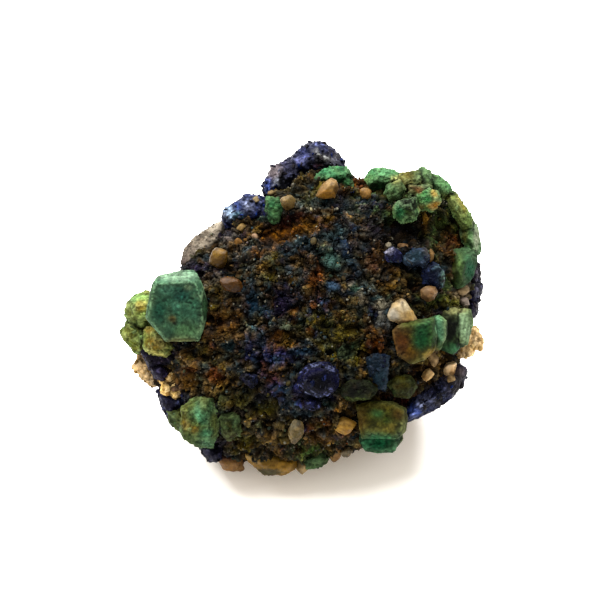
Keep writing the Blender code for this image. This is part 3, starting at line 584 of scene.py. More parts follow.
class Stud(Crystal):
    def __init__(self, direction, size, sink, seed, spin=0.0, tint=None, sub=5):
        rnd = random.Random(seed)
        d = Vector(direction).normalized()
        foot = Vector(((BODY_AT[0] - MID[0]) * GRID, (MID[1] - BODY_AT[1]) * GRID, BODY_AT[2])) + body_point(d)
        self.centre = np.array((foot - d * sink)[:])
        a, b, c = size
        self.size = max(size) * 1.2
        planes = []
        for n, dist in (((1, 0, 0), a), ((-1, 0, 0), a), ((0, 1, 0), b), ((0, -1, 0), b), ((0, 0, 1), c), ((0, 0, -1), c),
                        ((1, 1, 0.1), 0.80 * (a + b)), ((-1, 1, 0), 0.78 * (a + b)), ((1, -1, 0), 0.8 * (a + b)),
                        ((-1, -1, 0.1), 0.79 * (a + b)), ((1, 0, 1), 0.84 * (a + c)), ((-1, 0, 1), 0.76 * (a + c)),
                        ((0, 1, 1), 0.8 * (b + c)), ((0.1, -1, 1), 0.8 * (b + c)), ((0, 1, -1), 0.85 * (b + c))):
            v = Vector([q + rnd.uniform(-0.06, 0.06) for q in n])
            planes.append((v.normalized(), dist * rnd.uniform(0.94, 1.04) / v.length))
        side = d.cross(Vector((0.3, 1, 0.2))).normalized()
        other = d.cross(side)
        local = Matrix((side, other, d)).transposed() @ Matrix.Rotation(math.radians(spin), 3, "Z")
        self.set(planes, np.array([r[:] for r in local]), tint, sub)


class Grain:
    """A worn grain on the face: grid x, grid y, half width, half height, turn, lift over the skin."""

    def __init__(self, gx, gy, a, b, turn=0.0, lift=0.25, deep=None, seed=1, w=None, tint=None, sub=4, wear=6, fine=2):
        level = skin(gx, gy) + lift if w is None else w
        self.centre = np.array(((gx - MID[0]) * GRID, (MID[1] - gy) * GRID, level))
        self.half = np.array((a * GRID, b * GRID, (deep or 0.8 * (a + b) / 2) * GRID))
        self.turn, self.seed, self.tint, self.sub, self.wear = math.radians(turn), seed, tint, sub, wear

    def mesh(self, power=None):
        V, F = grain_shape(500 + self.seed, self.sub, power or self.wear, planes=11, rough=0.035)
        V = V * self.half * 1.02
        c, s = math.cos(self.turn), math.sin(self.turn)
        return self.centre + V @ np.array(((c, -s, 0), (s, c, 0), (0, 0, 1))).T, F


def knobs(points, w, size, seed, lift=0.0, tint=None):
    rnd = random.Random(seed)
    return [Grain(x, y, size * rnd.uniform(0.85, 1.2), size * rnd.uniform(0.85, 1.2), rnd.uniform(0, 90),
                  lift=lift + rnd.uniform(-0.15, 0.25), seed=seed + i, tint=tint,
                  w=None if w is None else w + rnd.uniform(-0.4, 0.4))
            for i, (x, y) in enumerate(points)]


ON = "on the skin"

# ---------------------------------------------------------------- the pieces
PIECES = [
    ("malachite_crystal_left", "malachite",
     [Crystal([(160, 277), (176, 272.5), (194, 271), (200, 280), (209, 306), (203, 330), (199, 339), (168, 339.5), (149, 317), (155, 285)],
              4.6, 3.4, 3.4, bevel=0.4, slope=(-0.05, -0.04), draw=0.1,
              extra=[((-0.08, 0.80, 0.60), (176, 282.5)), ((0.94, 0.05, 0.34), (203.5, 305))], tint=(82, 126, 104), sub=6)]),
    ("quartz_pebble_cream", "quartz",
     [Crystal([(386, 315), (391, 304), (399, 298.5), (403, 300), (411, 311), (415.5, 319), (412, 324), (400, 324), (389, 320)], (ON, 0.4), 1.3, 1.6, bevel=0.6,
              tint=(226, 204, 166))]),
    ("quartz_grain_amber_upper", "quartz", [Grain(220, 258.5, 9, 10, 0, 0.5, seed=2, tint=(140, 106, 58), sub=5)]),
    ("quartz_grain_amber_lower", "quartz", [Grain(233, 285, 9.5, 7, 25, 0.4, seed=3, tint=(140, 90, 34), sub=5)]),
    ("quartz_grain_tan_upper", "quartz", [Grain(289, 204, 6, 10, -22, 0.5, seed=4, tint=(146, 126, 92), sub=5)]),
    ("quartz_grain_tan_top", "quartz",
     [Crystal([(316, 197), (321, 187), (331, 178.5), (336, 181), (338, 190), (334, 199), (322, 200)], (ON, 0.8), 1.2, 1.6, bevel=0.9,
              tint=(172, 138, 96))]),
    ("quartz_grain_tan_top_right", "quartz", [Grain(365, 194.5, 5.5, 6.2, 0, 0.6, seed=6, tint=(170, 134, 92))]),
    ("quartz_grain_brown_right", "quartz",
     [Crystal([(419, 290), (425, 286), (434, 287), (436, 292), (432, 300), (426, 302), (420, 298)], (ON, 0.4), 1.0, 1.4, bevel=0.6,
              tint=(154, 124, 100))]),
    ("quartz_grain_gold_bottom", "quartz", [Grain(345, 424.5, 9.2, 8.8, 0, 0.5, seed=8, tint=(206, 166, 106), sub=5)]),
    ("quartz_grain_grey_bottom", "quartz", [Grain(296, 429.5, 7, 11.5, -5, 0.4, seed=9, tint=(130, 118, 88), sub=5)]),
    ("quartz_grain_cream_right", "quartz", [Grain(449.5, 368.5, 6.5, 9, -15, 0.8, seed=10, tint=(236, 208, 172), sub=5, wear=15)]),
    ("quartz_grain_cream_lower", "quartz", [Grain(427, 374, 4.6, 6.5, -15, 0.5, seed=11, tint=(214, 184, 142), wear=15)]),
    ("azurite_crystal_centre", "azurite",
     [Crystal([(298, 373), (305, 365), (318, 360.5), (330, 362), (338, 370), (338.5, 384), (331, 392), (318, 396), (305, 391), (298, 383)],
              (ON, 0.5), 1.9, 2.0, bevel=1.3, slope=(0.03, -0.06), tint=(24, 28, 98)),
      Crystal([(304, 399), (311, 396), (320, 399), (320, 406), (312, 409), (305, 406)], (ON, 0.4), 1.2, 1.2, bevel=0.5, tint=(30, 40, 110), sub=4),
      Crystal([(303, 385), (321, 385), (321, 402), (305, 402)], (ON, -0.3), 0.8, 0.9, bevel=0.4, tint=(26, 30, 84), sub=4)]),
    ("azurite_crystal_slate", "azurite",
     [Crystal([(366, 358), (373, 353), (388, 355), (386, 372), (384.5, 389), (378, 386), (369, 374)], (ON, 0.4), 1.2, 1.5, bevel=0.4,
              tint=(72, 92, 112))]),
    ("azurite_crystal_violet", "azurite",
     [Crystal([(240, 377), (246, 372), (258, 374), (258, 384), (252, 386.5)], (ON, 0.4), 0.9, 1.0, bevel=0.4, tint=(40, 30, 78), sub=4)]),
    ("malachite_blocks_right", "malachite",
     [Crystal([(392, 331), (398, 325), (414, 321), (431, 319), (434, 334), (432, 348), (422, 358), (410, 362), (397, 354)],
              (ON, 1.0), 2.4, 2.8, bevel=0.35, slope=(-0.13, -0.03), tint=(112, 100, 48)),
      Crystal([(424, 320), (437, 316), (443, 320), (444, 334), (438, 348), (428, 350)], (ON, 1.3), 2.3, 2.8, bevel=0.4, slope=(0.22, 0),
              tint=(104, 142, 98)),
      Crystal([(441, 314), (452, 309), (458, 311), (459, 345), (452, 352), (440, 347)], 2.4, 3.4, 3.2, bevel=0.5, slope=(0.05, 0),
              tint=(40, 58, 36)),
      Crystal([(455, 310), (468, 311), (470, 322), (465, 343), (456, 347)], 2.3, 3.4, 3.2, bevel=0.6, slope=(0.2, 0), tint=(142, 166, 124))]),
    ("malachite_blade_right", "malachite",
     [Crystal([(453, 250), (465, 248), (476, 254), (475.5, 265), (472, 276), (463, 286), (455, 288), (450, 281), (448.5, 262)],
              1.6, 3.2, 3.0, bevel=1.6, slope=(0.16, 0.0), tint=(96, 136, 100))]),
    ("malachite_rim_upper_right", "malachite",
     [Crystal([(364, 179), (370, 171), (380, 168.5), (392, 170), (400, 174), (399, 184), (388, 191), (371, 190)], 0.6, 2.6, 2.8, bevel=1.2,
              tint=(92, 142, 100)),
      Crystal([(386, 186), (399, 180), (404, 190), (398, 200), (389, 202), (384, 194)], (ON, 0.2), 1.6, 2.4, bevel=0.7, tint=(58, 100, 66), sub=4),
      Crystal([(400, 174), (418, 172), (425, 182), (418, 192), (403, 192), (398, 184)], 1.2, 2.8, 2.8, bevel=1.0, tint=(122, 116, 70)),
      Crystal([(416, 172), (422, 168.5), (430, 172), (434, 186), (426, 192), (415, 187)], 0.6, 2.8, 2.6, bevel=0.9, tint=(86, 122, 84), sub=4),
      Crystal([(428, 174), (439, 177), (448, 184), (452, 194), (442, 200), (430, 190)], 0.2, 2.6, 2.6, bevel=1.0, tint=(96, 146, 104)),
      Crystal([(392, 207), (399, 202), (414, 199), (418, 210), (413, 222), (400, 224.5), (393, 217)], (ON, 1.6), 1.9, 2.8, bevel=0.9, slope=(0, -0.08),
              tint=(86, 132, 86)),
      Crystal([(416, 195), (428, 189), (437, 193), (439, 204), (430, 212), (418, 211)], (ON, 1.2), 1.8, 3.0, bevel=0.9, tint=(98, 138, 88)),
      Crystal([(408, 186), (432, 186), (430, 202), (408, 206)], (ON, 0.0), 1.0, 2.0, bevel=0.4, tint=(70, 74, 44), sub=4),
      Crystal([(446, 188), (455, 193), (463, 207), (471, 217), (472, 231), (463, 231), (453, 213), (445, 200)], 0.2, 2.4, 2.6, bevel=1.0,
              tint=(126, 150, 92)),
      Crystal([(465, 220), (473, 220), (478, 230), (480, 244), (479.5, 254), (470, 254), (461, 240), (460, 228)], -0.6, 2.4, 2.8, bevel=1.0,
              tint=(122, 162, 124))]),
    ("malachite_cluster_left", "malachite",
     [Crystal([(128, 303), (133, 296), (148, 291), (156, 298), (158, 326), (144, 330), (127.5, 318)], 0.8, 2.9, 3.2, bevel=1.5, tint=(108, 124, 74)),
      Crystal([(121.5, 332), (128, 320), (140, 318), (150, 330), (148, 346), (138, 353), (129, 346)], 0.2, 2.9, 3.2, bevel=1.5, tint=(116, 126, 72)),
      Crystal([(144, 330), (160, 326), (174, 338), (178, 345), (172, 352), (165, 357.5), (152, 354), (143, 346)], 2.2, 2.9, 3.4, bevel=1.6,
              tint=(132, 134, 78))]),
    ("malachite_block_lower_left", "malachite",
     [Crystal([(183, 406), (196, 396), (214, 398), (219, 412), (218, 432), (213, 446), (199, 445), (186, 438), (181, 428)],
              (ON, 0.9), 2.2, 2.6, bevel=1.2, slope=(-0.1, -0.1), tint=(96, 118, 76)),
      Crystal([(168, 411), (180, 408), (190, 416), (188, 432), (180, 431), (170, 423)], 0.6, 2.2, 2.4, bevel=0.9, tint=(92, 96, 52), sub=4)]),
    ("malachite_patch_bottom", "malachite",
     [Crystal([(222, 414), (232, 410), (241, 416), (240, 434), (230, 440), (222, 432)], (ON, 0.3), 1.4, 1.6, bevel=0.8, tint=(88, 100, 54), sub=4)]),
    ("malachite_block_lower_right", "malachite",
     [Crystal([(357, 405), (370, 401), (392, 402), (404, 408), (405, 418), (403, 430), (396, 436), (362, 436)],
              (ON, 0.7), 2.6, 3.0, bevel=0.4, slope=(0.02, 0.12), tint=(104, 102, 54)),
      Crystal([(361, 426), (399, 426), (398, 440), (393, 450), (380, 452), (366, 450), (360, 440)], (ON, 0.5), 2.5, 3.0, bevel=0.6,
              slope=(0.04, -0.12), tint=(82, 134, 104)),
      Crystal([(390, 418), (404, 416), (402, 441), (396, 447), (391, 440)], (ON, 0.6), 2.3, 2.6, bevel=0.4, slope=(0.25, 0), tint=(64, 100, 70), sub=4)]),
    ("malachite_crust_top", "malachite",
     [Crystal([(314, 184), (318, 175), (332, 168.5), (345, 168.5), (350, 176), (344, 183), (322, 186)], 1.2, 3.0, 2.8, bevel=0.9, tint=(80, 148, 106)),
      Crystal([(340, 172), (349, 174), (353, 188), (346, 193), (339, 186)], (ON, 0.2), 1.3, 1.8, bevel=0.6, tint=(80, 116, 78), sub=4)]),
    ("malachite_tuft_upper_left", "malachite",
     [Crystal([(266, 198), (279, 198), (283, 208), (280, 221), (273, 225), (267, 212)], (ON, 0.3), 1.2, 1.8, bevel=0.7, tint=(70, 134, 92), sub=4)]),
    ("azurite_crown_top", "azurite",
     [Crystal([(284, 163), (294, 154), (308, 143.5), (320, 143), (334, 150.5), (343, 159), (343.5, 168), (324, 178), (298, 180)],
              -2.0, 4.2, 4.6, bevel=2.0, slope=(0.05, -0.1), tint=(40, 42, 88)),
      Crystal([(264, 190), (268, 176), (272, 167), (284, 162.5), (298, 166), (298, 182), (280, 192), (266, 196)], -0.6, 3.4, 3.6, bevel=1.5,
              tint=(58, 54, 76))]),
    ("azurite_lump_upper_left", "azurite",
     [Crystal([(223, 220), (227, 209), (238, 200), (249, 195), (262, 197), (268, 206), (267, 222), (257, 227), (238, 226), (226, 226)],
              0.8, 3.6, 3.4, bevel=1.7, tint=(40, 50, 108))]),
    ("azurite_plate_lower_right", "azurite",
     [Crystal([(405, 419), (408, 403), (418, 392), (432, 382), (449, 374), (460, 364), (467, 370), (463, 383), (450, 398), (430, 411), (413, 420)],
              0.8, 3.0, 3.4, bevel=1.5, slope=(0.1, -0.05), tint=(44, 50, 100))]),
    ("azurite_ridge_left", "azurite",
     [Crystal([(142, 350), (158, 351), (176, 350), (182, 360), (170, 368), (150, 369)], 1.2, 2.2, 2.6, bevel=0.9, tint=(44, 36, 62), sub=4),
      Crystal([(151, 366), (161, 364), (168, 373), (164, 380), (155, 377)], 1.2, 2.2, 2.0, bevel=0.6, tint=(60, 48, 74), sub=4)]),
    ("azurite_flank_lower_left", "azurite",
     [Crystal([(157.5, 390), (170, 391), (184, 397), (184, 406), (173, 412), (168, 418), (161, 405)], -0.2, 2.6, 2.6, bevel=1.0, tint=(40, 40, 74))]),
    ("azurite_rim_right", "azurite",
     [Crystal([(470, 262), (479, 263), (481, 276), (480, 290), (471, 290)], -2.6, 2.2, 2.6, bevel=0.8, tint=(86, 80, 92), sub=4),
      Crystal([(468, 284), (483, 284), (482, 292), (477, 302), (468, 302)], -2.2, 2.4, 2.8, bevel=0.8, tint=(70, 68, 100), sub=4),
      Crystal([(467, 298), (478, 302), (477, 313), (473, 319.5), (466, 314)], -2.4, 2.2, 2.6, bevel=0.7, tint=(64, 58, 84), sub=4)]),
    ("azurite_cluster_right", "azurite",
     [Crystal([(383, 253), (391, 247), (401, 255), (399, 263), (387, 263)], (ON, 0.5), 1.1, 1.6, bevel=0.5, tint=(62, 66, 120), sub=4),
      Crystal([(400, 258), (411, 250), (423, 249), (428, 258), (424, 268), (405, 266)], (ON, 0.3), 1.3, 1.6, bevel=0.5, tint=(58, 76, 100), sub=4),
      Crystal([(419, 266), (432, 264), (442, 272), (442, 288), (436, 286), (423, 283)], (ON, 0.3), 1.3, 1.6, bevel=0.6, tint=(34, 46, 92), sub=4)]),
    ("azurite_edge_bottom_left", "azurite",
     [Crystal([(199, 446), (212, 443), (222, 447), (221, 460), (209, 461.5), (203, 454)], -1.0, 2.2, 2.4, bevel=0.8, tint=(48, 42, 74), sub=4)]),
    ("olive_crystal_left", "malachite",
     [Crystal([(340, 386), (352, 378), (369, 380), (377, 388), (369, 398), (350, 399), (341, 395)], (ON, 0.3), 1.3, 1.6, bevel=0.7, tint=(66, 70, 38))]),
    ("olive_crystal_right", "malachite",
     [Crystal([(386, 383), (396, 374), (410, 374), (415, 386), (408, 397), (394, 395)], (ON, 0.5), 1.6, 2.0, bevel=0.8, tint=(86, 82, 42))]),
    ("malachite_edge_bottom", "malachite",
     [Crystal([(302, 456), (318, 451), (329, 459), (321, 467), (307, 468.5)], -0.8, 2.2, 2.4, bevel=0.8, tint=(78, 112, 78), sub=4)]),
    ("quartz_patch_grey", "sandy",
     [Crystal([(181, 263), (184, 250), (193, 238), (205, 230), (218, 221.5), (227, 223), (229, 236), (222, 248), (209, 256), (204, 270), (192, 270)],
              -0.4, 2.6, 3.2, bevel=1.7, tint=(146, 138, 126))]),
    ("crust_cream_left", "crust", knobs([(164, 381), (171, 377), (179, 380), (181, 388), (175, 393), (166, 389), (172, 385)], 2.0, 5.5, 31,
                                        tint=(200, 172, 120))),
    ("crust_pale_left", "crust", knobs([(142, 358), (140, 367), (146, 374), (152, 380), (147, 364), (151, 371)], -0.6, 6.2, 51, tint=(206, 180, 144))),
    ("crust_peach_right", "crust", knobs([(474, 333), (476, 342), (470, 350), (462, 353), (467, 341), (463, 346)], 0.0, 6.4, 71,
                                         tint=(210, 180, 138))),
    ("quartz_grain_brown_bottom", "quartz", [Grain(231, 463, 12, 9.5, 0, seed=18, w=-1.4, deep=11, tint=(142, 104, 72), sub=5)]),
    ("quartz_slab_bottom", "quartz",
     [Crystal([(244, 451), (258, 449), (278, 453), (296, 458), (297, 467), (283, 475), (264, 474), (249, 462)], -0.2, 2.0, 2.6, bevel=1.0,
              tint=(180, 142, 84))]),
    ("quartz_spike_bottom", "quartz", [Crystal([(297, 460), (308, 463), (309, 468), (302, 474), (296, 468)], -0.8, 1.6, 2.0, bevel=0.6,
                                               tint=(204, 182, 144), sub=4)]),
    ("quartz_grain_tan_bottom", "quartz", [Grain(335.5, 453, 7, 6, 0, seed=21, w=-0.4, deep=8, tint=(164, 124, 84))]),
    ("quartz_grain_grey_edge", "quartz", [Grain(347, 451.5, 5.5, 6, 0, seed=22, w=0.4, deep=8, tint=(104, 100, 86))]),
    ("malachite_crystal_back", "malachite", [Stud((0.45, 0.45, -0.77), (3.2, 2.7, 2.9), 0.6, 5, 20, tint=(80, 128, 98)),
                                             Stud((0.25, 0.55, -0.79), (2.4, 2.1, 2.3), 0.4, 6, 60, tint=(104, 126, 78))]),
    ("azurite_lump_back", "azurite", [Stud((-0.62, 0.35, -0.7), (3.6, 2.9, 2.4), 0.7, 9, 10, tint=(40, 42, 92)),
                                      Stud((-0.72, 0.15, -0.68), (2.6, 2.6, 2.2), 0.5, 10, 45, tint=(50, 46, 84))]),
    ("quartz_pebble_back", "quartz", [Stud((-0.1, 0.3, -0.95), (2.1, 1.6, 1.5), 0.2, 14, 30, tint=(196, 168, 124))]),
]

# stains and paler places on the crystals, and some painted light: painted highlights and reflections (the top facet and
# left edge of the left crystal, the glints on the crown, plate and right cluster, the bright dot on the centre crystal)
# and painted shade (the right side of the left crystal, the dark hollow of the crown): grid x, grid y, half width, half
# height, turn, colour, strength
STAINS_AND_PAINTED_LIGHT = {
    # painted light on the left crystal: the pale band on its top facet and the pale strip down its left edge are
    # painted highlight, and the dark strip down its right side is painted shade
    "malachite_crystal_left": [(177, 276, 24, 6, 0, (152, 178, 154), .85), (160, 311, 8, 10, 0, (42, 90, 74), .75), (183, 295, 10, 8, 0, (46, 86, 78), .75),
                               (174, 319, 4, 3.5, 0, (134, 104, 60), .9), (176, 323, 2.5, 2.5, 0, (44, 40, 30), .9), (190, 331, 18, 8, 0, (112, 148, 108), .8),
                               (183, 341, 18, 4, 0, (140, 122, 74), .7), (152, 300, 4, 16, 0, (134, 164, 124), .5), (206, 306, 4, 22, 0, (62, 84, 58), .8),
                               (169, 290, 9, 5, 0, (110, 156, 134), .7), (192, 312, 6, 8, 0, (92, 134, 110), .6), (163, 327, 8, 3, 30, (124, 160, 124), .6),
                               (178, 306, 5, 5, 0, (104, 150, 128), .6), (166, 300, 3, 3, 0, (28, 64, 54), .7), (190, 288, 4, 3, 0, (170, 176, 140), .5)],
    "malachite_cluster_left": [(140, 297, 9, 4, 0, (150, 180, 124), .7), (142, 306, 8, 6, 0, (146, 122, 68), .85), (133, 316, 6, 7, 0, (108, 106, 50), .8),
                               (130, 333, 8, 8, 0, (112, 110, 54), .85), (157, 343, 12, 8, 0, (126, 100, 40), .85), (154, 353, 17, 2.5, -12, (206, 200, 142), .9),
                               (124, 338, 3, 8, 0, (156, 156, 96), .8), (142, 322, 4, 8, 0, (170, 186, 126), .7), (150, 330, 5, 3, 0, (176, 130, 62), .8),
                               (136, 347, 6, 5, 0, (98, 98, 44), .8), (128, 306, 4, 6, 0, (150, 150, 96), .7), (150, 312, 4, 8, 0, (120, 130, 74), .7)],
    "malachite_rim_upper_right": [(382, 172, 16, 5, 0, (104, 158, 116), .8), (376, 186, 12, 6, 0, (40, 74, 44), .8), (395, 180, 6, 4, 0, (204, 196, 140), .8),
                                  (406, 178, 8, 6, 0, (120, 110, 66), .8), (411, 189, 9, 3, 0, (120, 70, 34), .7), (419, 191, 4, 3, 0, (160, 72, 40), .8),
                                  (398, 213, 5, 9, 15, (38, 100, 64), .95), (408, 212, 6, 10, 0, (48, 60, 28), .9), (412, 204, 5, 10, 0, (26, 32, 18), .9), (402, 203, 8, 3, 0, (30, 40, 24), .8),
                                  (390, 208, 3, 4, 0, (150, 118, 70), .7), (426, 198, 8, 8, 0, (66, 120, 76), .85), (433, 195, 4, 5, 0, (196, 164, 110), .8),
                                  (434, 207, 7, 5, 0, (186, 134, 78), .9), (420, 208, 4, 4, 0, (112, 88, 44), .7), (418, 177, 5, 5, 0, (104, 132, 104), .6),
                                  (424, 183, 3, 6, 0, (46, 66, 46), .8), (440, 186, 9, 9, 30, (118, 160, 114), .8), (446, 200, 5, 8, 30, (150, 148, 84), .8),
                                  (456, 208, 6, 14, 30, (152, 160, 104), .8), (461, 204, 2.5, 12, 32, (184, 160, 96), .7), (466, 224, 4, 8, 20, (128, 150, 90), .8),
                                  (476, 238, 4, 16, -10, (198, 206, 182), .85), (469, 240, 5, 14, 0, (104, 148, 100), .7), (464, 236, 3, 9, 0, (150, 130, 70), .7), (406, 203, 10, 9, 0, (20, 28, 14), .95)],
    "malachite_blade_right": [(452, 268, 4.5, 20, 0, (84, 84, 32), .95), (459, 268, 2.6, 18, 3, (150, 178, 116), .85), (463, 268, 1.6, 16, 3, (66, 104, 60), .7),
                              (469, 270, 5, 15, 8, (78, 142, 108), .85), (466, 251, 8, 3, 0, (120, 150, 110), .5), (458, 285, 6, 3, 0, (128, 160, 104), .7)],
    "malachite_blocks_right": [(397, 342, 11, 22, 0, (124, 80, 20), 1), (404, 330, 8, 6, 0, (100, 78, 28), .8), (423, 336, 13, 24, 0, (42, 104, 66), 1),
                               (406, 355, 14, 6, 20, (124, 90, 32), .9), (412, 322.5, 14, 3, 10, (92, 100, 46), .8), (429, 334, 3, 16, 0, (96, 120, 66), .7),
                               (438, 328, 4.5, 14, 10, (160, 216, 176), 1), (450, 328, 6.5, 12, 0, (6, 22, 12), 1), (442.5, 330, 1.4, 16, 0, (186, 202, 156), .9),
                               (463, 326, 6.5, 17, 8, (186, 214, 176), 1), (453, 310.5, 14, 3.5, 0, (222, 220, 166), 1), (451, 348, 10, 5, 0, (92, 156, 112), .9),
                               (428, 353, 10, 5, 30, (186, 150, 92), .85), (416, 344, 3, 5, 0, (70, 132, 96), .6)],
    "malachite_block_lower_left": [(198, 402, 14, 5, 0, (136, 144, 92), .7), (206, 417, 6, 7, 0, (84, 128, 98), .8), (196, 428, 6, 4, 0, (148, 118, 62), .8),
                                   (216, 425, 3, 14, 0, (140, 150, 100), .7), (210, 442, 14, 5, 0, (70, 112, 90), .8), (186, 420, 5, 8, 0, (112, 112, 60), .6), (184, 408, 5, 12, 0, (122, 116, 56), .8), (187, 424, 5, 6, 0, (156, 124, 66), .8),
                                   (199, 410, 3, 12, 8, (112, 172, 140), .8), (211, 406, 4, 10, 0, (70, 108, 74), .8), (204, 396, 8, 3, 0, (150, 150, 100), .7),
                                   (206, 432, 8, 4, 0, (92, 152, 120), .8), (194, 418, 2.5, 3, 0, (60, 64, 30), .8)],
    "malachite_block_lower_right": [(378, 405, 20, 4, 0, (128, 112, 60), .8), (361, 416, 5, 14, 0, (122, 90, 44), .85), (377, 412, 6, 4, 0, (84, 146, 100), .8),
                                    (386, 419, 4, 4, 0, (60, 96, 50), .8), (397, 413, 6, 6, 0, (120, 84, 40), .8), (371, 421, 5, 4, 0, (78, 84, 36), .8),
                                    (392, 424, 4, 3, 0, (150, 130, 84), .7), (380, 428.5, 17, 1.8, 0, (176, 150, 96), .7), (378, 441, 18, 9, 0, (66, 140, 100), 1),
                                    (402, 428, 2.5, 16, 0, (178, 182, 138), .8), (398, 437, 4, 8, 0, (30, 70, 44), .95),
                                    (371, 441, 1.5, 9, 0, (120, 176, 140), .6), (386, 442, 1.5, 8, 0, (34, 90, 66), .7), (366, 432, 3, 3, 0, (150, 186, 140), .7)],
    "malachite_crust_top": [(326, 173, 12, 4, -15, (104, 178, 132), .85), (345, 180, 5, 8, 0, (96, 164, 112), .8), (322, 183, 8, 3, 0, (36, 76, 50), .8), (336, 178, 8, 4, 0, (56, 136, 90), .8)],
    "malachite_tuft_upper_left": [(272, 204, 4, 5, 0, (80, 160, 112), .8), (276, 214, 5, 6, 0, (40, 116, 70), .7), (270, 220, 5, 4, 0, (30, 60, 40), .6)],
    "olive_crystal_left": [(356, 389, 20, 11, 0, (40, 42, 20), .9), (354, 398, 16, 1.6, 0, (142, 162, 98), .8), (344, 383, 5, 2, 0, (90, 92, 50), .6)],
    "olive_crystal_right": [(399, 386, 13, 11, 0, (76, 70, 30), .85), (398, 378, 8, 3, 0, (132, 126, 62), .7), (391, 391, 4, 4, 0, (60, 88, 46), .7), (404, 391, 6, 4, 0, (46, 42, 22), .7)],
    "malachite_patch_bottom": [(226, 416, 5, 6, 0, (64, 76, 36), .8), (236, 420, 4, 5, 0, (50, 100, 72), .7), (230, 434, 8, 5, 0, (84, 70, 34), .8)],
    "malachite_edge_bottom": [(316, 455, 8, 3, 0, (116, 146, 104), .6)],
    # on the crown, the near-black patch under the pale rim is painted shade in a hollow, and the near-white patch at
    # 276, 182 is a painted highlight
    "azurite_crown_top": [(304, 156, 6, 8, 20, (108, 116, 178), .8), (316, 148, 10, 4, 15, (78, 84, 124), .7), (318, 164, 14, 6, 0, (12, 12, 16), .95),
                          (322, 156, 14, 2.2, -32, (176, 176, 164), .85), (318, 167, 4, 2.5, 0, (110, 56, 40), .8), (335, 158, 8, 8, -40, (100, 98, 100), .8),
                          (330, 152, 6, 5, -40, (40, 40, 66), .7),
                          (273, 171, 9, 8, 20, (176, 164, 168), .95), (286, 163, 8, 6, 30, (86, 84, 112), .6), (268, 186, 4, 8, 0, (60, 78, 150), .8),
                          (276, 182, 4, 5, 20, (200, 206, 220), .85), (297, 167, 8, 5, 0, (24, 22, 40), .8), (300, 161, 4, 4, 0, (140, 144, 204), .7),
                          (288, 172, 8, 5, 0, (30, 30, 60), .8)],
    "azurite_lump_upper_left": [(229, 212, 5, 10, 20, (166, 184, 206), 1), (239, 217, 6, 4, 0, (84, 120, 118), .8), (262, 216, 7, 9, 0, (16, 14, 44), 1), (255, 222, 6, 4, 0, (20, 22, 48), .9),
                                (246, 202, 9, 5, 0, (86, 92, 116), .8), (238, 207, 5, 5, 0, (54, 72, 130), .7), (251, 212, 5, 6, 0, (50, 54, 92), .6),
                                (250, 208, 6, 2, -30, (170, 176, 190), .7), (243, 212, 2, 6, 30, (24, 26, 44), .7)],
    # on the plate, the two thin near-white strips are painted glints
    "azurite_plate_lower_right": [(413, 410, 8, 6, -30, (66, 108, 232), 1), (424, 399, 10, 4, -35, (124, 132, 168), .8), (455, 384, 14, 12, -40, (52, 46, 42), .9),
                                  (440, 394, 8, 6, -40, (18, 18, 24), .9), (430, 384, 8, 3, 30, (136, 128, 122), .8), (412, 415, 5, 2, -20, (206, 214, 236), .9),
                                  (419, 404, 6, 1.6, -40, (214, 220, 240), .9), (436, 403, 12, 3, -35, (60, 56, 58), .8), (450, 374, 8, 3, 35, (120, 104, 90), .7),
                                  (462, 371, 4, 5, 0, (110, 92, 70), .7), (404, 405, 3, 5, 0, (20, 30, 70), .7)],
    # on the centre crystal, the small near-white dot is a painted reflection
    "azurite_crystal_centre": [(318, 378, 22, 19, 0, (8, 10, 72), .9), (320, 381, 12, 9, 0, (3, 4, 34), .95), (317, 395, 13, 1.6, 0, (130, 138, 128), .7),
                               (324, 377, 2.4, 2.0, 0, (190, 206, 244), 1)],
    "azurite_crystal_slate": [(372, 362, 8, 8, 0, (40, 62, 80), .8), (380, 376, 7, 10, 0, (64, 92, 108), .8), (382, 388, 4, 4, 0, (88, 108, 112), .7)],
    # on the first crystal of the cluster, the grey-white patch at its top left is a painted glint
    "azurite_cluster_right": [(392, 257, 9, 7, 0, (34, 34, 82), .9), (388, 251, 5, 3.5, 0, (190, 188, 200), .85), (397, 262, 5, 3, 0, (20, 20, 40), .7),
                              (414, 256, 12, 6, 0, (60, 86, 98), .9), (408, 262, 8, 2, -20, (100, 120, 124), .6), (430, 277, 8, 9, 0, (26, 40, 80), .9),
                              (441, 279, 1.5, 11, -8, (158, 196, 170), .95), (436, 267.5, 6, 1.5, 20, (140, 172, 164), .9), (424, 252, 4, 4, 0, (160, 136, 104), .6)],
    "azurite_rim_right": [(476, 270, 6, 10, 0, (110, 102, 106), .8), (476, 288, 6, 8, 0, (96, 90, 96), .7), (470, 299, 4, 5, 0, (54, 40, 120), .9), (474, 310, 5, 7, 0, (90, 80, 90), .6)],
    "azurite_flank_lower_left": [(164, 396, 6, 6, 0, (62, 60, 90), .6), (172, 404, 8, 5, 0, (36, 32, 44), .7)],
    "azurite_edge_bottom_left": [(206, 451, 4, 3, 0, (120, 116, 140), .6)],
    "azurite_ridge_left": [(160, 359, 14, 7, 0, (46, 36, 52), .8), (158, 356, 6, 2, 0, (110, 104, 120), .6)],
    "quartz_patch_grey": [(214, 226, 10, 5, 30, (226, 216, 200), .8), (193, 254, 8, 12, 30, (120, 110, 102), .6), (204, 244, 6, 6, 0, (164, 154, 140), .5),
                          (184, 262, 6, 5, 0, (86, 74, 80), .6)],
    "quartz_grain_brown_bottom": [(228, 457, 10, 4, 0, (104, 74, 70), .8), (234, 468, 9, 4, 0, (172, 134, 92), .6)],
    "quartz_slab_bottom": [(270, 457, 24, 4, 8, (204, 170, 106), .8), (285, 464, 9, 6, 0, (214, 172, 108), .7), (268, 472, 16, 4, 0, (70, 72, 42), .9),
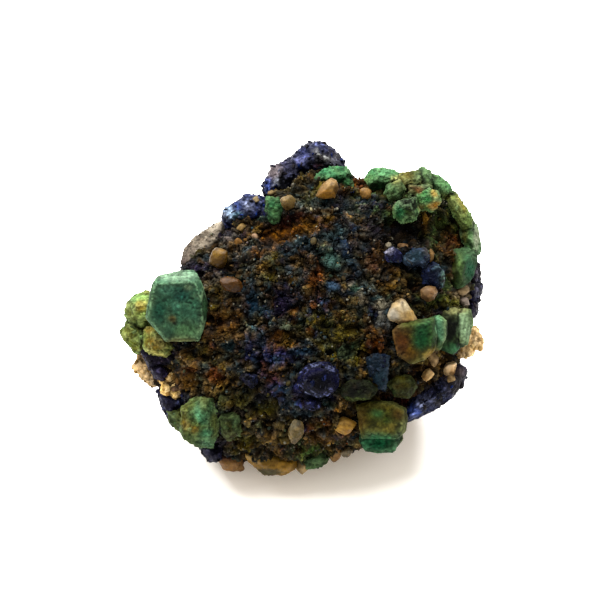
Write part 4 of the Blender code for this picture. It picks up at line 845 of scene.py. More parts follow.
                           (250, 455, 5, 4, 0, (222, 200, 150), .7)],
    "quartz_pebble_cream": [(392, 314, 6, 7, 0, (206, 202, 190), .8), (403, 306, 6, 6, 0, (244, 232, 204), .7), (409, 316, 6, 6, 0, (214, 178, 118), .7),
                            (402, 322, 9, 2.5, 0, (150, 112, 70), .7), (400, 299, 10, 4, 0, (146, 126, 100), .85), (413, 304, 4, 7, 0, (120, 96, 62), .8)],
    "quartz_grain_grey_bottom": [(293, 424, 5, 5, 0, (150, 144, 124), .7), (299, 434, 5, 5, 0, (110, 96, 60), .7), (296, 440, 6, 3, 0, (70, 60, 40), .7),
                                 (299, 422, 3, 4, 0, (92, 100, 96), .7)],
    "quartz_grain_tan_top": [(327, 195, 9, 4, 0, (176, 130, 70), .7), (330, 184, 5, 4, 0, (204, 176, 136), .7), (336, 192, 2.5, 6, 0, (96, 70, 44), .7)],
    "quartz_grain_tan_upper": [(290, 197, 4, 4, 0, (170, 150, 116), .6), (286, 210, 5, 4, 0, (110, 84, 50), .7)],
    "quartz_grain_brown_right": [(424, 290, 5, 4, 0, (176, 150, 124), .6), (430, 299, 6, 3, 0, (110, 84, 56), .7)],
    "quartz_grain_cream_right": [(447, 364, 4, 4, 0, (236, 214, 184), .7), (453, 373, 4, 4, 0, (190, 150, 110), .7)],
    "quartz_grain_cream_lower": [(429, 371, 3, 3, 0, (226, 200, 164), .7), (425, 378, 3, 3, 0, (130, 98, 66), .7)],
    "quartz_grain_gold_bottom": [(342, 420, 5, 4, 0, (222, 186, 130), .7), (348, 430, 6, 3, 0, (150, 108, 56), .7)],
    "quartz_grain_amber_upper": [(219, 253, 7, 4, 0, (186, 150, 92), .6), (221, 266, 8, 3, 0, (84, 60, 34), .7)],
    "quartz_grain_amber_lower": [(231, 282, 6, 3, 25, (190, 140, 80), .7), (236, 290, 6, 3, 25, (78, 48, 26), .7), (230, 283, 12, 9, 0, (146, 104, 30), .9)],
}


ROUGHER = {"malachite_crystal_left": 0.32, "malachite_blade_right": 0.5, "malachite_blocks_right": 0.6, "malachite_block_lower_right": 0.7,
           "malachite_block_lower_left": 1.75, "malachite_rim_upper_right": 1.15, "malachite_cluster_left": 1.5, "malachite_crust_top": 1.7,
           "malachite_tuft_upper_left": 1.9, "malachite_patch_bottom": 2.0, "olive_crystal_left": 1.1, "olive_crystal_right": 1.1,
           "malachite_edge_bottom": 1.4, "malachite_crystal_back": 0.7, "azurite_crystal_centre": 0.55, "azurite_ridge_left": 0.6, "azurite_flank_lower_left": 0.7, "azurite_crystal_slate": 0.6,
           "azurite_crown_top": 1.5, "azurite_lump_upper_left": 1.4, "azurite_plate_lower_right": 1.1}
CHIPS = {"malachite": [(30, (60, 104, 74)), (18, (150, 178, 134)), (16, (104, 106, 54)), (12, (140, 104, 52)), (24, (40, 70, 44))],
         "azurite": [(30, (20, 22, 42)), (14, (32, 46, 96)), (14, (112, 114, 122)), (8, (98, 104, 136)), (26, (9, 10, 16)), (8, (66, 60, 50))],
         "quartz": [(30, (150, 116, 70)), (30, (220, 190, 140)), (20, (90, 66, 38)), (20, (180, 150, 110))],
         "crust": [(30, (142, 118, 86)), (40, (220, 206, 182)), (15, (104, 84, 60)), (15, (180, 160, 126))],
         "sandy": [(30, (90, 84, 80)), (30, (176, 168, 156)), (20, (60, 52, 50)), (20, (140, 128, 112))]}
GREEN_ROUGH = ("malachite_rim_upper_right", "malachite_cluster_left", "malachite_crust_top", "malachite_tuft_upper_left", "malachite_patch_bottom",
               "malachite_block_lower_left")
GAIN = {"malachite": 1.0, "azurite": 1.0, "quartz": 1.35, "crust": 2.4, "sandy": 1.4}
CRISP = ("malachite_crystal_left", "malachite_blocks_right", "malachite_block_lower_right", "malachite_blade_right", "malachite_crystal_back")
CHIPPED = {"malachite_crystal_left": 0.14, "malachite_blocks_right": 0.2, "malachite_block_lower_right": 0.2, "malachite_blade_right": 0.2,
           "azurite_crystal_slate": 0.3, "azurite_cluster_right": 0.35, "azurite_crystal_centre": 0.3, "azurite_ridge_left": 0.4, "azurite_flank_lower_left": 0.4}
OWN_GAIN = {"malachite_blocks_right": 0.8, "malachite_block_lower_right": 0.85, "malachite_block_lower_left": 1.1, "malachite_cluster_left": 2.0,
            "malachite_blade_right": 0.6, "azurite_crystal_centre": 0.34, "azurite_lump_upper_left": 1.8, "azurite_crown_top": 1.05,
            "azurite_plate_lower_right": 1.5, "olive_crystal_left": 0.3, "olive_crystal_right": 0.7, "quartz_grain_amber_upper": 0.55,
            "quartz_grain_amber_lower": 0.34, "quartz_pebble_cream": 0.92, "quartz_grain_cream_right": 1.9, "quartz_grain_cream_lower": 1.5, "malachite_rim_upper_right": 1.38, "quartz_grain_tan_upper": 0.7, "quartz_grain_tan_top": 0.8, "quartz_grain_tan_top_right": 0.75,
            "azurite_crystal_slate": 0.6, "azurite_cluster_right": 0.75, "azurite_crystal_violet": 0.5, "malachite_patch_bottom": 0.6,
            "crust_peach_right": 1.5, "crust_pale_left": 1.15, "crust_cream_left": 1.75, "malachite_crystal_left": 1.0, "malachite_crust_top": 1.1, "malachite_tuft_upper_left": 0.95, "quartz_slab_bottom": 0.8}


def bled(colour, F, rounds, keep=0.2):
    """Hues run into their neighbours while light and dark stay sharp, as under a film of stain."""
    E = np.concatenate([F[:, [0, 1]], F[:, [1, 2]], F[:, [2, 0]]])
    n = len(colour)
    count = np.maximum(np.bincount(E.ravel(), minlength=n), 1)
    light = colour.mean(axis=1)
    soft = np.column_stack([colour, light])
    for _ in range(rounds):
        near = np.column_stack([np.bincount(E[:, 0], weights=soft[E[:, 1], k], minlength=n) + np.bincount(E[:, 1], weights=soft[E[:, 0], k], minlength=n)
                                for k in range(4)]) / count[:, None]
        soft = 0.4 * soft + 0.6 * near
    even = soft[:, :3] / soft[:, 3:] * light[:, None]
    return colour * keep + even * (1 - keep)


def painted(name, kind, members, V, N):
    """Colour and gloss over the points of one piece."""
    gx, gy = grid_of(V)
    base = np.zeros((len(V), 3))
    edge = np.full(len(V), 9.0)
    crease = np.full(len(V), 9.0)
    tone = np.zeros(len(V))
    if isinstance(members[0], Grain):
        near = np.argmin([np.linalg.norm(V - m.centre, axis=1) for m in members], axis=0)
        for i, m in enumerate(members):
            rnd = np.random.RandomState(m.seed)
            base[near == i] = lin(*m.tint) * rnd.uniform(0.86, 1.14)
    else:
        found = [m.reach(V) for m in members]
        away = np.abs([f[0] for f in found])
        near = np.argmin(away, axis=0)
        if len(members) > 1:
            crease = np.sort(away, axis=0)[1]
        for i, m in enumerate(members):
            here = near == i
            base[here] = lin(*m.tint)
            edge[here] = found[i][2][here]
            tone[here] = m.shade[found[i][1][here]]
    mottle = fbm(V, 0.9, 3, 3)
    fine = fbm(V, 3.2, 2, 8)
    colour = base.copy()
    # each little face has its own tint
    shares = np.array([c[0] for c in CHIPS[kind]], float)
    shares = np.cumsum(shares / shares.sum())
    table = np.array([lin(*c[1]) for c in CHIPS[kind]])
    rough = ROUGHER.get(name, 1.0)
    amount = {"malachite": 0.24 + 0.16 * min(rough, 1.5), "azurite": 0.75, "quartz": 0.22, "crust": 0.4, "sandy": 0.5}[kind]
    amount = CHIPPED.get(name, amount)
    for scale, share in ((0.95, 0.5), (2.1, 1.0), (4.0, 0.9)):
        _, margin, _, own = cells(V + 0.12 * N * 0, scale, 5 + int(scale * 10))
        pick = table[np.searchsorted(shares, np.clip(own[:, 2] * 0.5 + 0.5, 0, 0.9999))]
        k = (amount * share * smooth(-0.4, 0.5, own[:, 0] + 0.3 * mottle))[:, None]
        colour = (colour * (1 - k) + pick * k) * np.exp((0.12 if kind == "quartz" else 0.34 if rough > 0.5 else 0.14) * own[:, 2:3])
        if scale < 3 and kind == "malachite" and name != "malachite_crystal_left":
            line = ((0.05 if name in CRISP else 0.2) * (1 - smooth(0.02, 0.14, margin)) * smooth(0.0, 0.4, mottle + 0.1))[:, None]
            colour = colour * (1 - line) + lin(168, 184, 124) * line
    # patches from the table, stains and painted light alike, laid over the points that face the front
    for x, y, rx, ry, turn, tint, strength in STAINS_AND_PAINTED_LIGHT.get(name, ()):
        a = math.radians(turn)
        dx, dy = gx - x + 2.5 * mottle, gy - y + 2.5 * fine
        u = (dx * math.cos(a) - dy * math.sin(a)) / rx
        v = (dx * math.sin(a) + dy * math.cos(a)) / ry
        k = strength * (1 - smooth(0.6, 1.2, np.sqrt(u * u + v * v))) * smooth(-0.35, 0.1, N[:, 2])
        colour = colour * (1 - k[:, None]) + lin(*tint) * np.exp(0.35 * fine + 0.25 * mottle)[:, None] * k[:, None]
    if name == "malachite_blocks_right":
        ribs = np.abs((gx + 0.12 * (gy - 325)) / 3.6 % 1 * 2 - 1)
        colour = colour * (1 + smooth(454, 457, gx) * (0.9 * ribs - 0.3))[:, None]
    if kind == "malachite":
        crisp = name in CRISP
        more = 1.9 if name in ("malachite_crystal_left", "malachite_tuft_upper_left") else 1.25 if crisp else 1.4
        colour *= np.exp(0.40 * more * mottle + 0.35 * more * fine + (0.34 if crisp else 0.2) * tone)[:, None]
        # pale edges of the facets: wear and painted highlight
        edge_wear_and_highlight = (1 - smooth(0.0, 0.16 if crisp else 0.26, edge)) * smooth(-0.35, 0.1, mottle + fine)
        pale = {"malachite_crystal_left": 0.8, "malachite_blade_right": 0.5, "olive_crystal_left": 0.08, "olive_crystal_right": 0.2}.get(name, 0.25 if crisp else 0.4)
        colour = colour * (1 - pale * edge_wear_and_highlight[:, None]) + lin(178, 206, 168) * (1.25 if crisp else 1.0) * pale * edge_wear_and_highlight[:, None]
        frost_and_highlight = smooth(0.16, 0.5, fbm(V, 1.9, 3, 17)) * (0.16 if crisp else 0.24)
        colour = colour * (1 - frost_and_highlight[:, None]) + lin(140, 168, 132) * frost_and_highlight[:, None]
        rust = smooth(0.24, 0.55, fbm(V + 50, 0.8, 3, 19)) * 0.35 * min(rough, 1)
        colour = colour * (1 - rust[:, None]) + lin(124, 92, 42) * rust[:, None]
        # the pits are darker as well as sunk in roughened: painted shade in the hollows
        pit = smooth(0.26, 0.5, fbm(V, 2.4, 2, 29)) * (1 if rough < 0.5 else 0.6)
        colour *= (1 - 0.55 * pit)[:, None]
        gloss = 0.30 + 0.12 * tone + 0.1 * fine
    elif kind == "azurite":
        colour *= np.exp(0.5 * mottle + 0.3 * fine + 0.25 * tone)[:, None]
        if name == "azurite_crystal_centre":
            colour = colour * np.array([0.4, 0.5, 1.4])
        grey = colour.mean(axis=1, keepdims=True)
        if name not in ("azurite_crystal_centre", "azurite_crystal_violet"):
            colour = grey + (colour - grey) * 0.92
        # painted glints: small cells on faces turned to the front are lightened and tinted pale blue; on the centre
        # crystal they keep to a ring near its rim and have near-white added
        for scale, share in ((2.1, 0.10), (4.0, 0.15)):
            own = cells(V, scale, 26 if scale < 3 else 45)[3]
            painted_glint = smooth(1 - 2 * share, 1 - 2 * share + 0.2, own[:, 0]) * smooth(-0.3, 0.3, N[:, 2])
            if name == "azurite_crystal_centre":
                ring = np.hypot((gx - 318) / 21, (gy - 377.5) / 18)
                painted_glint = painted_glint * smooth(0.62, 0.8, ring) * 1.6
            painted_glint = painted_glint * (0.35 if name == "azurite_crystal_slate" else 1)
            colour = colour * np.exp(-0.12 + 0.9 * painted_glint)[:, None] + lin(110, 122, 160) * (0.36 * painted_glint)[:, None]
            if name == "azurite_crystal_centre":
                colour = colour + lin(206, 214, 236) * (0.8 * np.clip(painted_glint, 0, 1.2))[:, None]
        gloss = 0.75 + 0.25 * cells(V, 2.1, 26)[3][:, 1]
    else:
        colour *= (1 + 0.24 * mottle + 0.15 * fine)[:, None]
        dirt = smooth(0.12, 0.5, fbm(V, 1.3, 3, 43)) * 0.45
        colour = colour * (1 - dirt[:, None]) + lin(96, 66, 36) * dirt[:, None]
        gloss = (0.5 if kind == "quartz" else 0.25) + 0.1 * fine
    # painted shade in the creases where the members of a piece meet
    colour *= (1 - 0.72 * (1 - smooth(0.04, 0.36, crease + 0.12 * fine)))[:, None]
    # painted shade: points that face away from the front are darker, most of all on malachite
    colour *= (1 - (0.4 if kind == "malachite" else 0.15) * smooth(0.05, -0.5, N[:, 2]))[:, None]
    return np.clip(colour * GAIN[kind] * OWN_GAIN.get(name, 1), 0.0006, 1), np.clip(gloss, 0, 1)


def roughened(name, kind, V, N):
    """How far each point of a piece stands in or out of its facets, in mm."""
    k = ROUGHER.get(name, 1.0)
    if kind == "malachite":
        lump = 0.10 * fbm(V, 0.8, 3, 51) + 0.11 * chipped(V, 0.95, 14) + 0.07 * chipped(V, 2.1, 26) + 0.05 * fbm(V, 3.4, 2, 52)
        pits = smooth(0.22, 0.5, fbm(V, 2.4, 2, 29))
        if name == "malachite_blocks_right":
            gx, gy = grid_of(V)
            ribs = np.abs((gx + 0.12 * (gy - 325)) / 3.6 % 1 * 2 - 1)
            lump = lump + 0.17 * (ribs - 0.5) * smooth(454, 458, gx) * smooth(-0.2, 0.4, N[:, 2])
        return lump * k - 0.12 * pits
    if kind == "azurite":
        return (0.14 * fbm(V, 0.8, 3, 54) + 0.17 * chipped(V, 0.95, 14) + 0.11 * chipped(V, 2.1, 26) + 0.05 * fbm(V, 3.5, 2, 56)) * k
    if kind in ("sandy", "crust"):
        return 0.12 * fbm(V, 1.2, 3, 57) + 0.09 * chipped(V, 2.1, 26) + 0.07 * fbm(V, 3.2, 2, 58)
    k = {"quartz_grain_grey_bottom": 3.5, "quartz_slab_bottom": 3.5, "quartz_grain_grey_edge": 3.0, "quartz_grain_gold_bottom": 1.8,
         "quartz_grain_tan_upper": 1.8, "quartz_grain_tan_top": 1.8, "quartz_grain_brown_bottom": 1.6}.get(name, 1.2)
    return k * (0.03 * fbm(V, 1.5, 3, 59) + 0.035 * chipped(V, 0.95, 14) + 0.012 * chipped(V, 2.1, 26))


# ---------------------------------------------------------------- materials
def finish_material(name, bump_scale, bump, rough_low, rough_high, speck=0.35, speck_scale=7.0, spec=0.5, vein=0.0, subsurface=0.0,
                    facet_noise=0.0):
    """A stone whose colour and gloss are laid down over the piece, with its own fine grain worked out in the nodes."""
    m = bpy.data.materials.new(name)
    m.use_nodes = True
    nt = m.node_tree
    N, L = nt.nodes, nt.links
    p = N["Principled BSDF"]
    p.inputs["Specular IOR Level"].default_value = spec
    if subsurface:
        p.inputs["Subsurface Weight"].default_value = subsurface
        p.inputs["Subsurface Radius"].default_value = (0.8, 0.5, 0.3)
        p.inputs["Subsurface Scale"].default_value = 0.0008
    tc = N.new("ShaderNodeTexCoord")
    mp = N.new("ShaderNodeMapping")
    mp.inputs["Scale"].default_value = (1000, 1000, 1000)
    L.new(tc.outputs["Object"], mp.inputs["Vector"])
    col = N.new("ShaderNodeAttribute")
    col.attribute_name = "Col"
    glo = N.new("ShaderNodeAttribute")
    glo.attribute_name = "gloss"

    def noise_at(scale, detail, rough=0.6, dist=0.0):
        n = N.new("ShaderNodeTexNoise")
        n.inputs["Scale"].default_value = scale
        n.inputs["Detail"].default_value = detail
        n.inputs["Roughness"].default_value = rough
        n.inputs["Distortion"].default_value = dist
        L.new(mp.outputs["Vector"], n.inputs["Vector"])
        return n

    def ranged(src, a, b, lo, hi):
        r = N.new("ShaderNodeMapRange")
        for k, v in zip(("From Min", "From Max", "To Min", "To Max"), (a, b, lo, hi)):
            r.inputs[k].default_value = v
        L.new(src, r.inputs["Value"])
        return r.outputs["Result"]

    speckle = noise_at(speck_scale, 4, 0.7)
    cloud = noise_at(1.4, 5, 0.6, 0.4)
    mult = N.new("ShaderNodeMath")
    mult.operation = "MULTIPLY"
    L.new(ranged(speckle.outputs["Fac"], 0.3, 0.7, 1 - speck, 1 + speck), mult.inputs[0])
    L.new(ranged(cloud.outputs["Fac"], 0.3, 0.7, 0.86, 1.14), mult.inputs[1])
    scaled = N.new("ShaderNodeVectorMath")
    scaled.operation = "SCALE"
    L.new(col.outputs["Color"], scaled.inputs[0])
    L.new(mult.outputs["Value"], scaled.inputs["Scale"])
    out = scaled.outputs["Vector"]
    if vein:
        vor = N.new("ShaderNodeTexVoronoi")
        vor.feature = "DISTANCE_TO_EDGE"
        vor.inputs["Scale"].default_value = 1.9
        L.new(mp.outputs["Vector"], vor.inputs["Vector"])
        mix = N.new("ShaderNodeMix")
        mix.data_type = "RGBA"
        L.new(ranged(vor.outputs["Distance"], 0.0, 0.10, vein, 0.0), mix.inputs["Factor"])
        L.new(out, mix.inputs["A"])
        mix.inputs["B"].default_value = (0.05, 0.07, 0.035, 1)
        out = mix.outputs["Result"]
    L.new(out, p.inputs["Base Color"])
    gl = ranged(glo.outputs["Fac"], 0.0, 1.0, rough_high, rough_low)
    add = N.new("ShaderNodeMath")
    add.operation = "ADD"
    add.use_clamp = True
    L.new(gl, add.inputs[0])
    L.new(ranged(noise_at(bump_scale * 1.7, 3).outputs["Fac"], 0.3, 0.7, -0.12, 0.12), add.inputs[1])
    L.new(add.outputs["Value"], p.inputs["Roughness"])
    b1 = N.new("ShaderNodeBump")
    b1.inputs["Strength"].default_value = 0.9
    b1.inputs["Distance"].default_value = bump * MM
    L.new(noise_at(bump_scale, 6, 0.65).outputs["Fac"], b1.inputs["Height"])
    last = b1
    if facet_noise:
        vor = N.new("ShaderNodeTexVoronoi")
        vor.inputs["Scale"].default_value = 2.6
        L.new(mp.outputs["Vector"], vor.inputs["Vector"])
        b2 = N.new("ShaderNodeBump")
        b2.inputs["Strength"].default_value = facet_noise
        b2.inputs["Distance"].default_value = 0.15 * MM
        L.new(vor.outputs["Distance"], b2.inputs["Height"])
        L.new(b1.outputs["Normal"], b2.inputs["Normal"])
        last = b2
    L.new(last.outputs["Normal"], p.inputs["Normal"])
    return m


MATERIAL = {
    "matrix": finish_material("rock_cement", 5.0, 0.16, 0.45, 0.95, speck=0.45, speck_scale=6.0, spec=0.03),
    "sand": finish_material("sand_grains", 4.0, 0.09, 0.22, 0.85, speck=0.40, speck_scale=7.0, spec=0.06),
    "malachite": finish_material("malachite", 3.6, 0.10, 0.35, 0.85, speck=0.42, speck_scale=3.4, spec=0.032),
    "azurite": finish_material("azurite", 4.0, 0.14, 0.2, 0.7, speck=0.5, speck_scale=4.0, spec=0.02, facet_noise=0.5),
    "quartz": finish_material("quartz", 2.6, 0.05, 0.18, 0.7, speck=0.16, speck_scale=5.0, spec=0.08, subsurface=0.12),
    "crust": finish_material("pale_crust", 5.0, 0.12, 0.45, 0.95, speck=0.28, speck_scale=6.0, spec=0.045),
}
MATERIAL["sandy"] = MATERIAL["crust"]

# ---------------------------------------------------------------- build the crystals and the large grains
rnd = np.random.RandomState(5)
total = 0
LAID = []


def coat(pile, V, F, N, kind, gain, count, shapes, size, tints, gloss, sink=0.35, where=None, flat=0.0):
    """Small crystals or balls grown over the surface of a piece."""
    T = V[F]
    area = np.linalg.norm(np.cross(T[:, 1] - T[:, 0], T[:, 2] - T[:, 0]), axis=1)
    ok = np.ones(len(F), bool) if where is None else where(T.mean(axis=1))
    area = area * ok
    if area.sum() <= 0:
        return
    pick = rnd.choice(len(F), count, p=area / area.sum())
    for i in pick:
        a, b = sorted(rnd.uniform(size=2))
        pos = T[i, 0] * a + T[i, 1] * (b - a) + T[i, 2] * (1 - b)
        n = N[F[i]].mean(axis=0)
        n /= np.linalg.norm(n)
        r = rnd.uniform(*size)
        tv, tf = shapes[rnd.randint(len(shapes))]
        M = random_turn(rnd)
        P = (tv * (r * rnd.uniform(0.8, 1.25, 3))) @ M.T
        c = lin(*tints[rnd.randint(len(tints))]) * rnd.uniform(0.7, 1.3) * GAIN[kind] * gain
        if kind == "malachite":
            c = c * 0.3 + pile.C[0][F[i, 0]] * rnd.uniform(0.6, 1.3)
        up = (P @ n) / r
        shade = 0.62 + 0.38 * smooth(-0.6, 0.9, up)
        pile.add(pos - n * r * sink + P, tf, c[None, :] * shade[:, None], gloss * rnd.uniform(0.8, 1.15), kind == "crust")


for name, kind, members in PIECES:
    V, F = union([m.mesh() if isinstance(m, Grain) else m.mesh(60) for m in members])
    N = normals_of(V, F)
    colour, gloss = painted(name, kind, members, V, N)
    colour = bled(colour, F, 8)
    V = V + N * roughened(name, kind, V, N)[:, None]
    N = normals_of(V, F)
    pile = Pile()
    LAID.append((V, F))
    pile.add(V, F, colour, gloss, kind in ("quartz", "crust") or name == "malachite_crystal_left")
    area = np.linalg.norm(np.cross(V[F[:, 1]] - V[F[:, 0]], V[F[:, 2]] - V[F[:, 0]]), axis=1).sum() / 2
    if kind == "azurite":
        bits = [(20, 24, 56), (14, 16, 34), (34, 48, 100), (18, 16, 26), (104, 108, 130), (50, 46, 50)]
        if name in ("azurite_rim_right", "azurite_ridge_left", "azurite_flank_lower_left"):
            bits = [(50, 46, 52), (24, 20, 28), (80, 74, 80), (34, 30, 46)]
        if name in ("azurite_crystal_slate", "azurite_cluster_right"):
            bits = [(50, 64, 92), (38, 48, 80), (84, 98, 120), (30, 34, 66), (80, 80, 82)]
        coat(pile, V, F, N, kind, OWN_GAIN.get(name, 1), int(area * 0.7), BLADES[2], (0.16, 0.40), bits, 0.9, sink=0.5)
    if name in GREEN_ROUGH:
        bits = [(84, 130, 90), (116, 160, 118), (58, 96, 62), (128, 142, 92), (98, 106, 58), (44, 72, 48), (150, 186, 146)]
        coat(pile, V, F, N, kind, OWN_GAIN.get(name, 1), int(area * (0.2 if name == "malachite_rim_upper_right" else 0.55)), ANGULAR[2], (0.10, 0.32), bits, 0.3, sink=0.6)
    if kind in ("crust",):
        coat(pile, V, F, N, kind, OWN_GAIN.get(name, 1), int(area * 1.4), BALLS[2], (0.14, 0.38), [(184, 162, 126), (198, 178, 146), (160, 136, 102), (128, 104, 72)],
             0.2, sink=0.5)
    if kind == "sandy":
        coat(pile, V, F, N, kind, OWN_GAIN.get(name, 1), int(area * 2.5), SAND[1], (0.10, 0.22), [(150, 142, 130), (120, 112, 104), (176, 168, 154), (100, 92, 86)], 0.4, sink=0.4)
    obj = pile.object(name + "_stone", MATERIAL[kind])
    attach(obj, "root")
    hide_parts(name)
    total += pile.tris()
print("crystal triangles", total)

# ---------------------------------------------------------------- the nodule: a rough rock with its sand grown into it
def refine(D, F, chosen):
    """Splits the chosen triangles of a ball in four, and their neighbours in two or four, so that it stays closed."""
    U, inv = np.unique(np.sort(np.stack([F[:, [0, 1]], F[:, [1, 2]], F[:, [2, 0]]], 1), axis=2).reshape(-1, 2), axis=0, return_inverse=True)
    inv = inv.reshape(-1, 3)
    while True:
        cut = np.zeros(len(U), bool)
        cut[inv[chosen].ravel()] = True
        n = cut[inv].sum(axis=1)
        more = (n >= 2) & ~chosen
        if not more.any():
            break
        chosen = chosen | more
    mid = np.full(len(U), -1)
    mid[cut] = len(D) + np.arange(cut.sum())
    M = D[U[cut, 0]] + D[U[cut, 1]]
    V = np.concatenate([D, M / np.linalg.norm(M, axis=1)[:, None]])
    a, b, c = F[chosen].T
    ab, bc, ca = mid[inv[chosen]].T
    out = [np.stack(t, 1) for t in ((a, ab, ca), (ab, b, bc), (ca, bc, c), (ab, bc, ca))]
    for k in range(3):
        one = ~chosen & (n == 1) & cut[inv[:, k]]
        i, j, o = F[one][:, k], F[one][:, (k + 1) % 3], F[one][:, (k + 2) % 3]
        m = mid[inv[one, k]]
        out += [np.stack(t, 1) for t in ((i, m, o), (m, j, o))]
    out.append(F[~chosen & (n == 0)])
    return V, np.concatenate(out)


def seated(V):
    """Points drawn in towards the middle where they would pass under the base."""
    rise = V @ UP - BASE_Z
    k = np.where(rise < 0.03, (inside - 0.03) / np.maximum(inside - rise, 1e-6), 1.0)
    return CENTRE + (V - CENTRE) * k[:, None]


def taken(P, room):
    """Which points lie in a crystal or a large grain, or closer to it than room."""
    out = np.zeros(len(P), bool)
    for _, _, members in PIECES:
        for m in members:
            near = np.linalg.norm(P - m.centre, axis=1) < (m.half.max() if isinstance(m, Grain) else m.size * 1.5) + 2.5
            if not near.any():
                continue
            if isinstance(m, Grain):
                q = (P[near] - m.centre) / (m.half + room)
                hit = (q ** 2).sum(axis=1) < 1
            else:
                hit = ((P[near] - m.centre) @ m.frame @ m.N.T - m.dist).max(axis=1) < room
            out[np.flatnonzero(near)[hit]] = True
    return out


class Crowd:
    """Keeps grains from standing in each other."""

    def __init__(self, cell=2.0):
        self.cell, self.map = cell, {}

    def key(self, p):
        return tuple(int(math.floor(c / self.cell)) for c in p)

    def free(self, p, r, share):
        kx, ky, kz = self.key(p)
        for x in (kx - 1, kx, kx + 1):
            for y in (ky - 1, ky, ky + 1):
                for z in (kz - 1, kz, kz + 1):
                    for q, s in self.map.get((x, y, z), ()):
                        lim = share * (r + s)
                        d = (p[0] - q[0]) ** 2 + (p[1] - q[1]) ** 2 + (p[2] - q[2]) ** 2
                        if d < lim * lim:
                            return False
        return True

    def put(self, p, r):
        self.map.setdefault(self.key(p), []).append((tuple(p), r))


# grains that catch the eye, each in its own place: grid x, grid y, half width, half height, turn, colour, gloss, lift
NOTABLE = [
    (272, 192, 6, 3, 35, (206, 182, 142), .4, .5), (256, 200, 4, 3, 0, (206, 186, 150), .4, .5), (243, 228, 5, 4.5, 0, (206, 176, 130), .4, .9),
    (255, 237, 3.4, 3.4, 0, (216, 184, 156), .4, .9), (238, 243, 4, 4.5, 0, (150, 114, 76), .4, .7), (235, 236, 3, 3, 0, (110, 98, 86), .4, .2),
    (219, 279, 4, 4, 0, (100, 94, 84), .4, .3), (207, 275, 2, 3.5, 0, (136, 100, 60), .4, .3), (318, 171, 4, 3, 0, (216, 196, 156), .4, .5),
    (302, 172, 4, 4, 0, (86, 78, 46), .3, .3), (284, 177, 4, 2.5, 20, (106, 94, 56), .3, .3), (340, 190, 4, 4, 0, (70, 52, 52), .4, .3),
    (382, 304, 6, 5, 0, (176, 170, 150), .5, .4), (381, 315, 6.5, 6, 0, (184, 184, 174), .5, .5), (387, 324.5, 6, 3, 0, (140, 146, 146), .5, .4),
    (403, 247, 7, 4, 0, (196, 160, 126), .4, .8), (388, 246, 4, 4, 0, (180, 170, 150), .4, .6), (429, 256, 3.5, 6, 0, (190, 156, 116), .4, .7),
    (395, 270, 4.5, 4.5, 0, (100, 72, 46), .4, .3), (391, 287, 6, 3.5, 10, (146, 112, 62), .4, .3), (462, 291, 7.5, 6, 0, (236, 208, 168), .4, 1.6), (463, 301, 5, 5, 0, (216, 200, 188), .4, 1.3),
    (431, 357, 5.5, 8, 25, (232, 200, 158), .4, 1.2), (450.5, 379, 5, 3.5, 0, (222, 192, 150), .4, .9), (441, 375, 3, 3, 0, (170, 140, 104), .4, .3),
    (378, 345, 6.5, 6.5, 0, (156, 98, 54), .4, .4), (368, 344, 4, 5, 0, (92, 50, 30), .3, .3), (325, 423, 5, 5, 0, (160, 100, 44), .4, .3),
    (311, 428, 4.5, 4.5, 0, (140, 88, 44), .4, .3), (304, 429, 3, 3.5, 0, (40, 50, 110), .8, .3), (322, 435, 4.5, 4.5, 0, (96, 104, 106), .5, .3),
    (360, 447, 4, 4, 0, (130, 96, 60), .4, .3), (227, 314, 5, 5, 0, (122, 98, 62), .4, .3), (214, 315, 4, 5, 0, (98, 74, 44), .4, .2),
    (208, 335, 4, 5, 0, (92, 66, 40), .4, .2), (196, 364, 4, 4, 0, (156, 116, 70), .4, .4), (250, 368, 6, 3, 10, (170, 150, 112), .4, .4),
    (247, 329, 3, 2.2, 0, (200, 190, 170), .4, .3), (357, 236, 2.5, 2.5, 0, (196, 160, 142), .4, .3), (362, 300, 6, 7, 0, (106, 98, 84), .5, .2),
    (259, 434, 3, 3, 0, (196, 190, 174), .4, .3), (294, 312, 4, 4, 0, (150, 104, 44), .3, .2), (309, 330, 4, 4, 0, (150, 94, 38), .3, .2),
    (313, 305, 4, 4, 0, (136, 86, 38), .3, .2), (368, 291, 2, 2, 0, (200, 196, 186), .7, .3), (362, 372, 4, 6, 0, (160, 126, 80), .4, .3),
    (292, 404, 2.2, 2.2, 0, (190, 190, 186), .7, .4), (248, 464, 5, 6, 0, (160, 118, 74), .4, .3), (265, 436, 8, 6, 0, (112, 88, 52), .4, .2),
    (283, 441, 8, 5, 0, (134, 110, 66), .4, .2), (463, 370, 5, 5, 0, (96, 82, 46), .3, .4), (155, 380, 4, 4, 0, (104, 78, 50), .3, .3),
    (425, 219, 4.5, 8, 0, (170, 136, 88), .3, .4), (420, 205, 3, 3, 0, (160, 120, 72), .3, .4), (330, 262, 7, 7, 0, (80, 100, 94), .5, .1),
    (285, 327, 5, 3.5, 0, (116, 120, 98), .4, .2), (332, 287, 5, 4, 0, (84, 100, 112), .6, .1), (174, 389, 3, 3, 0, (216, 176, 146), .4, .4),
    (230, 404, 4, 4, 0, (110, 84, 44), .4, .2), (336, 418, 4, 4, 0, (104, 92, 62), .4, .2), (372, 382, 4, 5, 0, (90, 76, 44), .4, .2),
    (412, 240, 3, 3, 0, (120, 100, 70), .4, .2), (447, 300, 4, 3, 0, (150, 124, 76), .4, .3), (420, 306, 5, 4, 0, (96, 84, 46), .4, .2),
]

# where everything stands: first the marked grains, then sand of three sizes over the whole skin
crowd = Crowd(2.0)
marked = []
for gx, gy, a, b, turn, tint, gloss, lift in NOTABLE:
    pos, n = drop(gx, gy)
    crowd.put(pos, (a + b) / 2 * GRID)
    marked.append((pos, n))

